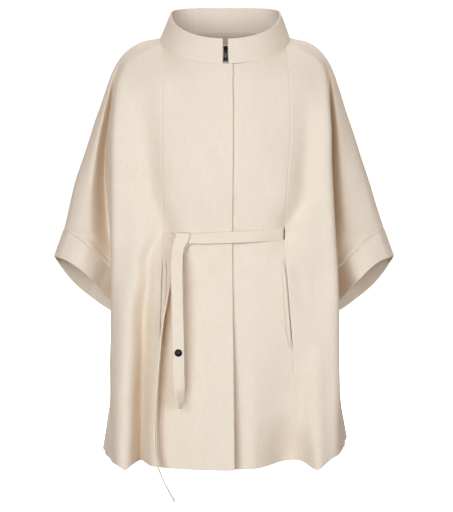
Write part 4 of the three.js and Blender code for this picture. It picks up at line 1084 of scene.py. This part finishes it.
class CAPE_OT_belt(bpy.types.Operator):
    """Tie the belt: a strap from each slot, the half knot, and both hanging tails"""
    bl_idname = "cape.belt"
    bl_label = "Belt"

    def execute(self, context):
        look = FrontLook()
        for name, run, tail in (("left", RUN_LEFT, TAIL_BACK), ("right", RUN_RIGHT, TAIL_FRONT)):
            lying, grid_a = strap(f"run_{name}", look, run, 10, True)
            hanging, grid_b = strap(f"tail_{name}", look, tail, 8, False)
            obj = joined(f"belt_{name}_cloth", [lying, hanging])
            length = (arc(grid_a, 0)[-1].max() + arc(grid_b, 0)[-1].max()) * MM
            sheet(obj, f"belt_{name}", (STRAP_WIDTH * MM, float(length)))
        return {"FINISHED"}


def seam_levels(side, z_from, z_to, count):
    """Levels at which a princess seam passes evenly spaced heights."""
    vs = np.linspace(4, 7.9, 400)
    z = front_at(np.full((len(vs), 1), side * float(SEAM)), vs)[:, 0, 2]
    return np.interp(-np.linspace(z_from, z_to, count), -z, vs)


def seam_line(side, u, z_from, z_to, count):
    """Places, ways out and ways along a line beside a princess seam."""
    wanted = seam_levels(side, z_from, z_to, count)
    p, n = facing(front_at, np.full((count, 1), side * u), wanted)
    return p[:, 0], n[:, 0], unit(np.gradient(p[:, 0], axis=0))


def pocket_welt(name, side):
    """The narrow welt on a pocket's front lip, which tapers to points."""
    p, n, along = seam_line(side, WELT_LINE, POCKET_TOP, POCKET_BOTTOM, 60)
    p = p + n * (HALF + GAP + 0.1 + WELT_THICK / 2 + WELT_STAND)
    across = unit(np.cross(n, along))
    from_middle = np.abs(np.linspace(-1, 1, len(p)))
    taper = np.clip((1 - from_middle) / 0.3, 0.03, 1) ** 0.7
    grid = p[:, None] + across[:, None] * (WELT_PLACES[None, :] * taper[:, None])[..., None]
    ways = np.broadcast_to(n[:, None], grid.shape)
    length = arc(grid, 0)
    share = thinning(arc(grid, 1) * WELT_ROUND, length)
    obj = wall_mesh(f"pocket_welt_{name}_cloth", grid, ways, WELT_THICK / 2 * share)
    flat = (WELT_CUT * MM, float(length.max()) * MM)
    sheet(obj, f"pocket_welt_{name}", flat, held="stretched",
          rests_on=[f"front_{name}_cloth"], area=flat_area(obj, flat))


def pocket_patch(name, side):
    """The pocket's inner layer, which lies behind the front."""
    low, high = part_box(f"pocket_patch_{name}")
    levels = seam_levels(side, high[2] / MM - 1, low[2] / MM + 1, 60)
    reach = sorted(side * line for line in PATCH_LINES)
    us = np.broadcast_to(np.linspace(*reach, 50), (60, 50))
    p, n = facing(front_at, us, levels)
    p = p + n * (drape(p, n) - HALF - GAP - 0.1 - WELT_THICK / 2)[..., None]
    share = thinning(arc(p, 1), arc(p, 0))
    as_sheet(wall_mesh(f"pocket_patch_{name}_cloth", p, n, WELT_THICK / 2 * share),
             p, f"pocket_patch_{name}")


class CAPE_OT_pockets(bpy.types.Operator):
    """Set a welt beside each pocket's slit, and the pocket's patch inside"""
    bl_idname = "cape.pockets"
    bl_label = "Seam pockets"

    def execute(self, context):
        for name, side in SIDES:
            pocket_welt(name, side)
            pocket_patch(name, side)
        return {"FINISHED"}


LEAN = unit(np.array([0, NECK["front"] - RIM["front"],
                      RIM["side"] - RIM["front_drop"] - NECK["side"] + NECK["front_drop"]], float))
LEAN_OUT = np.array([0, -LEAN[2], LEAN[1]])
COLLAR_BACK = COLLAR_HALF + GAP + TAPE_THICK / 2
SLIDER_Z, SLIDER_STAND = -27.0, 1.6


def collar_spot(x, z, off):
    """A place at the collar's front, at height z, that stands off its slanting middle."""
    t = (z - (NECK["side"] - NECK["front_drop"])) / LEAN[2]
    base = np.array([x, -NECK["front"], NECK["side"] - NECK["front_drop"]], float)
    return base + LEAN * t + LEAN_OUT * off


def tape_lines(side):
    """Inner and outer edge lines of a zip tape, from the collar's rim to above the hem."""
    inner = ZIP_X + side * TAPES_APART / 2
    outer = inner + side * TAPE
    near, far = [], []
    for z in np.linspace(TAPE_TOP, COLLAR_FOOT, 8):
        near.append(collar_spot(inner, z, -COLLAR_BACK))
        bend = NECK["front"] * (1 - math.sqrt(1 - (outer / NECK["half"]) ** 2))
        far.append(collar_spot(outer, z, -COLLAR_BACK - bend))
    vs = np.linspace(0.0, HEM, 200)[1:]
    back = HALF + GAP + 0.25 + TAPE_THICK / 2
    p, n = fronts(np.full((len(vs), 1), UNDER_EDGE / LINE_MM), vs, True)
    low = p[:, 0] - n[:, 0] * back
    low[:, 0] = inner
    p, n = fronts(np.full((len(vs), 1), outer / LINE_MM), vs, side > 0)
    high = p[:, 0] - n[:, 0] * back
    high[:, 0] = outer
    keep = (low[:, 2] < TAPE_BEND) & (low[:, 2] > ZIP_BOTTOM)
    return np.array(near + list(low[keep])), np.array(far + list(high[keep]))


class CAPE_OT_zip(bpy.types.Operator):
    """Set the zip behind the front edges: tapes and coil"""
    bl_idname = "cape.zip"
    bl_label = "Zip tapes and coil"

    def execute(self, context):
        for name, side in reversed(SIDES):
            near, far = tape_lines(side)
            shares = np.array([0, 0.03, 0.2, 0.4, 0.6, 0.8, 0.97, 1.0])
            if side > 0:
                grid = near[:, None] + (far - near)[:, None] * shares[None, :, None]
            else:
                grid = far[:, None] + (near - far)[:, None] * shares[None, :, None]
            n = unit(np.cross(np.gradient(grid, axis=0), np.gradient(grid, axis=1)))
            obj = wall_mesh(f"zip_tape_{name}_cloth", grid, n, TAPE_THICK / 2 * 0.9)
            length = float(arc(grid, 0)[-1].max()) * MM
            sheet(obj, f"zip_tape_{name}", (TAPE * MM, length), slot="zip_tape", kind="tape")
            self.coil(name, side, near, far)
        return {"FINISHED"}

    def coil(self, name, side, near, far):
        """A row of loops on the tape's inner edge. One loop is modelled and then copied."""
        loop = turned(COIL_WIRE, COIL_WIDTH, vertices=8)
        bpy.ops.object.mode_set(mode="EDIT")
        bpy.ops.mesh.select_all(action="SELECT")
        bpy.ops.mesh.bevel(offset=COIL_SOFT * MM, segments=1, affect="EDGES")
        bpy.ops.object.mode_set(mode="OBJECT")
        shape = np.array([v.co for v in loop.data.vertices]) / MM
        faces = [list(f.vertices) for f in loop.data.polygons]
        bpy.data.objects.remove(loop, do_unlink=True)
        along = arc(near[:, None], 0)[:, 0]

        def on(line, s):
            return np.array([np.interp(s, along, line[:, k]) for k in range(3)])

        # The two sides' loops take turns down the zip, and stop short of both ends.
        first = 3 + (0 if side > 0 else COIL_PITCH / 2)
        places, quads = [], []
        for s in np.arange(first, along[-1] - 2, COIL_PITCH):
            at = on(near, s)
            across = unit(on(far, s) - at)
            down = unit(on(near, s + 1) - at)
            face = unit(np.cross(down, across)) * side
            centre = at + across * 0.35
            mesh = (centre + shape[:, 2:3] * across + shape[:, 0:1] * down
                    + shape[:, 1:2] * face * 1.35)
            start = len(places)
            places += list(mesh * MM)
            quads += [[start + k for k in f] for f in faces]
        mesh = bpy.data.meshes.new(f"zip_coil_{name}")
        mesh.from_pydata([tuple(p) for p in places], [], quads)
        obj = bpy.data.objects.new(f"zip_coil_{name}", mesh)
        bpy.context.scene.collection.objects.link(obj)
        outwards(obj)
        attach(obj, "cape")
        dress(obj, "coil")


def zip_frame():
    """Place and turn of the slider's own frame: x across, y out, z up the tape."""
    hinge = collar_spot(ZIP_X, SLIDER_Z, SLIDER_STAND)
    turn = Matrix.Identity(4)
    for i, axis in enumerate((np.array([-1.0, 0, 0]), LEAN_OUT, LEAN)):
        for k in range(3):
            turn[k][i] = axis[k]
    return Matrix.Translation(Vector(hinge * MM)) @ turn


def only(obj):
    """Select one object alone and make it the active one."""
    bpy.ops.object.select_all(action="DESELECT")
    obj.select_set(True)
    bpy.context.view_layer.objects.active = obj


def block(size, at, narrow=1.0, bevel=0.25, segments=2):
    """A box whose lower end is narrowed, with soft edges. Sizes in mm."""
    bpy.ops.object.select_all(action="DESELECT")
    bpy.ops.mesh.primitive_cube_add(size=1, location=(0, 0, 0))
    obj = bpy.context.active_object
    obj.scale = [s * MM for s in size]
    obj.location = [a * MM for a in at]
    bpy.ops.object.transform_apply(location=True, rotation=False, scale=True)
    low = min(v.co.z for v in obj.data.vertices)
    bpy.ops.object.mode_set(mode="EDIT")
    bpy.ops.mesh.select_all(action="DESELECT")
    work = bmesh.from_edit_mesh(obj.data)
    for vert in work.verts:
        vert.select = abs(vert.co.z - low) < 1e-7
    work.select_flush(True)
    bmesh.update_edit_mesh(obj.data)
    bpy.ops.transform.resize(value=(narrow, 1, 1), center_override=(at[0] * MM, 0, 0))
    bpy.ops.mesh.select_all(action="SELECT")
    bpy.ops.mesh.bevel(offset=bevel * MM, segments=segments, affect="EDGES")
    bpy.ops.object.mode_set(mode="OBJECT")
    return obj


def turned(radius, length, at=(0, 0, 0), turn=(0, 0, 0), vertices=24):
    """A plain round bar along z, or turned from it. Sizes in mm."""
    bpy.ops.object.select_all(action="DESELECT")
    bpy.ops.mesh.primitive_cylinder_add(vertices=vertices, radius=radius * MM,
                                        depth=length * MM, rotation=turn,
                                        location=[a * MM for a in at])
    bpy.ops.object.transform_apply(location=True, rotation=True, scale=True)
    return bpy.context.active_object


def cross_bar(radius, length, bevel=0.1):
    """A short round bar along x, with soft ends."""
    obj = turned(radius, length, turn=(0, math.pi / 2, 0))
    soften(obj, bevel)
    return obj


def soften(obj, width, segments=2, angle=40):
    """Round the sharp edges of a hard piece."""
    bevel = obj.modifiers.new("Round edges", "BEVEL")
    bevel.width = width * MM
    bevel.segments = segments
    bevel.limit_method = "ANGLE"
    bevel.angle_limit = math.radians(angle)
    bpy.context.view_layer.objects.active = obj
    bpy.ops.object.modifier_apply(modifier=bevel.name)


def cut(obj, cutter):
    """Cut one hard piece's shape out of another's."""
    boolean = obj.modifiers.new("Cut", "BOOLEAN")
    boolean.operation = "DIFFERENCE"
    boolean.solver = "EXACT"
    boolean.object = cutter
    bpy.context.view_layer.objects.active = obj
    bpy.ops.object.modifier_apply(modifier=boolean.name)
    bpy.data.objects.remove(cutter, do_unlink=True)


def finish_hard(obj, place, node_name, body):
    """Put a finished hard piece in its place and on its body."""
    obj.data.transform(place)
    obj.matrix_world = Matrix.Identity(4)
    only(obj)
    bpy.ops.object.shade_smooth_by_angle(angle=math.radians(35))
    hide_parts(node_name)
    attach(obj, body)
    dress(obj, "nickel")


class CAPE_OT_slider(bpy.types.Operator):
    """Cast the zip's slider and its pull"""
    bl_idname = "cape.slider"
    bl_label = "Slider and pull"

    def execute(self, context):
        place = zip_frame()
        tape = -SLIDER_STAND - COLLAR_BACK
        reach = TAPE_THICK / 2 + GAP + 0.6
        # The top plate, the bottom plate, the bridge between them, and the bar with its two posts
        parts = [
            block((7.6, 1.2, 11), (0, tape + reach, 0), 0.78, 0.35),
            block((7.6, 1.2, 11), (0, tape - reach, 0), 0.78, 0.35),
            block((1.2, 2 * reach, 3), (0, tape, 3.9), 1.0, 0.15),
            cross_bar(0.7, 6.2),
        ]
        for x in (-2.9, 2.9):
            parts.append(block((1.0, 3.6, 2.6), (x, tape + reach + 1.6, 0), 0.8, 0.3))
        slider = joined("zip_slider_cast", parts)
        finish_hard(slider, place, "zip_slider", "cape")
        # The pull's plate widens downwards and has a small hole and a long window above it.
        pull = block((5.2, 1.6, 22), (0, 0, -14), 1.58, 0.0001, 1)
        cut(pull, block((2.2, 4, 6.4), (0, 0, -25), 1.0, 0.1, 1))
        cut(pull, block((2.0, 4, 9), (0, 0, -14.5), 1.3, 0.3, 2))
        soften(pull, 0.35, 2)
        neck = block((4.2, 1.6, 4.0), (0, 0, -2.2), 1.1, 0.2)
        eye = cross_bar(2.0, 4.2, bevel=0.3)
        pull = joined("zip_pull_cast", [pull, neck, eye])
        cut(pull, cross_bar(1.0, 8, bevel=0.0001))
        finish_hard(pull, place, "zip_pull", "pull")
        return {"FINISHED"}


class CAPE_OT_stud(bpy.types.Operator):
    """Press the snap stud through the front tail"""
    bl_idname = "cape.stud"
    bl_label = "Snap stud"

    def execute(self, context):
        low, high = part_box("snap_stud")
        centre = (Vector(low) + Vector(high)) / 2
        cap = turned(7, 1.8, (0, 0, 0.9), vertices=48)
        bpy.ops.object.mode_set(mode="EDIT")
        # The face's steps: how far each is set in, and how far it is pushed out
        for inset, push in ((1.3, 0), (0.35, -1.0), (1.5, 0), (0.3, 0.9), (1.4, 0.25)):
            bpy.ops.mesh.select_all(action="DESELECT")
            work = bmesh.from_edit_mesh(cap.data)
            top = [f for f in work.faces if f.normal.z > 0.9
                   and math.hypot(*f.calc_center_median()[:2]) < 0.1 * MM]
            for face in top:
                face.select = True
            bmesh.update_edit_mesh(cap.data)
            bpy.ops.mesh.inset(thickness=inset * MM)
            if push:
                bpy.ops.transform.translate(value=(0, 0, push * MM))
        bpy.ops.object.mode_set(mode="OBJECT")
        soften(cap, 0.3, 3, 30)
        post = turned(2.4, 5.6, (0, 0, -2.1), vertices=32)
        back = turned(5.5, 1.2, (0, 0, -4.4), vertices=40)
        soften(back, 0.3, 2, 30)
        stud = joined("snap_stud_plated", [cap, post, back])
        turn = Vector((0, 0, 1)).rotation_difference(Vector((0, -1, 0.03)).normalized())
        place = (Matrix.Translation(centre) @ turn.to_matrix().to_4x4()
                 @ Matrix.Translation((0, 0, 1.6 * MM)))
        finish_hard(stud, place, "snap_stud", "cape")
        return {"FINISHED"}


LAMP_HEX, AIR_HEX, AIR_STRENGTH = "CFE3FD", "FFDAB2", 0.215
DRUM_RADIUS, DRUM_HEIGHT = 20, 30
# The photo's camera: its focal length in pixels, the picture's height, its place and its tilt
FOCUS_PX, PICTURE_PX = 1743.59, 512
EYE, EYE_TILT = (0.002925, -3.38952, -0.15834), 4.5


class CAPE_OT_studio(bpy.types.Operator):
    """Set the floor, the backdrop, the lights and the camera"""
    bl_idname = "cape.studio"
    bl_label = "Studio"

    def execute(self, context):
        set_up = context.scene.cape_studio
        middle = set_up.floor_drop + DRUM_HEIGHT / 2
        bpy.ops.mesh.primitive_cylinder_add(vertices=96, radius=DRUM_RADIUS, depth=DRUM_HEIGHT,
                                            location=(0, 0, middle))
        drum = context.active_object
        drum.name = "studio_cyclorama"
        drum.data.name = "studio_cyclorama"
        # The drum glows evenly for the camera and lights no cloth: the lamps and the air do.
        drum.visible_diffuse = False
        drum.visible_shadow = False
        material, tree = new_material("Matt white paper")
        shader = node(tree, "ShaderNodeBsdfPrincipled", Base_Color=linear("FFFFFF"),
                      Roughness=0.9, Emission_Color=linear("FFFFFF"), Emission_Strength=1.0)
        node(tree, "ShaderNodeOutputMaterial", [("Surface", shader.outputs["BSDF"])])
        drum.data.materials.append(material)
        world = bpy.data.worlds.new("Studio air")
        context.scene.world = world
        world.use_nodes = True
        back = world.node_tree.nodes["Background"]
        back.inputs["Color"].default_value = linear(AIR_HEX)
        back.inputs["Strength"].default_value = AIR_STRENGTH
        for name, power, size, place, aim_z in (
                ("key", set_up.key_power, 2.6, (-1.35, -3.2, 0.2), -0.45),
                ("fill", set_up.fill_power, 2.2, (1.9, -3.0, 0.0), -0.45),
                ("top", set_up.rim_power, 1.4, (0.2, 0.9, 2.0), 0),
                ("behind", set_up.back_power, 2.6, (-0.8, 3.4, 0.3), -0.4)):
            data = bpy.data.lights.new(f"studio_{name}", "AREA")
            data.shape = "DISK"
            data.size = size
            data.energy = power
            data.color = linear(LAMP_HEX)[:3]
            lamp = bpy.data.objects.new(f"studio_{name}", data)
            lamp.location = place
            aim = Vector((0, 0, aim_z)) - lamp.location
            lamp.rotation_euler = aim.to_track_quat("-Z", "Y").to_euler()
            context.scene.collection.objects.link(lamp)
        camera = bpy.data.cameras.new("studio_camera")
        camera.sensor_width = 36
        camera.lens = camera.sensor_width * FOCUS_PX / PICTURE_PX
        camera.clip_end = 60
        eye = bpy.data.objects.new("studio_camera", camera)
        eye.location = EYE
        eye.rotation_euler = (math.radians(90 - EYE_TILT), 0, 0)
        context.scene.collection.objects.link(eye)
        context.scene.camera = eye
        context.scene.view_settings.view_transform = "Standard"
        return {"FINISHED"}


class CAPE_PT_panel(bpy.types.Panel):
    """Lists the cape's pieces in the sidebar"""
    bl_label = "Cashmere cape"
    bl_idname = "CAPE_PT_panel"
    bl_space_type = "VIEW_3D"
    bl_region_type = "UI"
    bl_category = "Cape"

    def draw(self, context):
        for operator in OPERATORS:
            self.layout.operator(operator.bl_idname)
        for group in (context.scene.cape_cloth, context.scene.cape_finish,
                      context.scene.cape_studio):
            for name in group.__annotations__:
                self.layout.prop(group, name)


OPERATORS = (CAPE_OT_studio, CAPE_OT_fronts, CAPE_OT_sides, CAPE_OT_back, CAPE_OT_collar,
             CAPE_OT_cuffs, CAPE_OT_belt, CAPE_OT_pockets, CAPE_OT_zip, CAPE_OT_slider,
             CAPE_OT_stud)
CLASSES = (CapeCloth, CapeFinish, CapeStudio, *OPERATORS, CAPE_PT_panel)


def register():
    for cls in CLASSES:
        bpy.utils.register_class(cls)
    bpy.types.Scene.cape_cloth = bpy.props.PointerProperty(type=CapeCloth)
    bpy.types.Scene.cape_finish = bpy.props.PointerProperty(type=CapeFinish)
    bpy.types.Scene.cape_studio = bpy.props.PointerProperty(type=CapeStudio)


def unregister():
    del bpy.types.Scene.cape_cloth
    del bpy.types.Scene.cape_finish
    del bpy.types.Scene.cape_studio
    for cls in reversed(CLASSES):
        bpy.utils.unregister_class(cls)


def main():
    register()
    bpy.ops.cape.studio()
    bpy.ops.cape.fronts()
    bpy.ops.cape.sides()
    bpy.ops.cape.back()
    bpy.ops.cape.collar()
    bpy.ops.cape.cuffs()
    bpy.ops.cape.belt()
    bpy.ops.cape.pockets()
    bpy.ops.cape.zip()
    bpy.ops.cape.slider()
    bpy.ops.cape.stud()


if __name__ == "__main__":
    main()
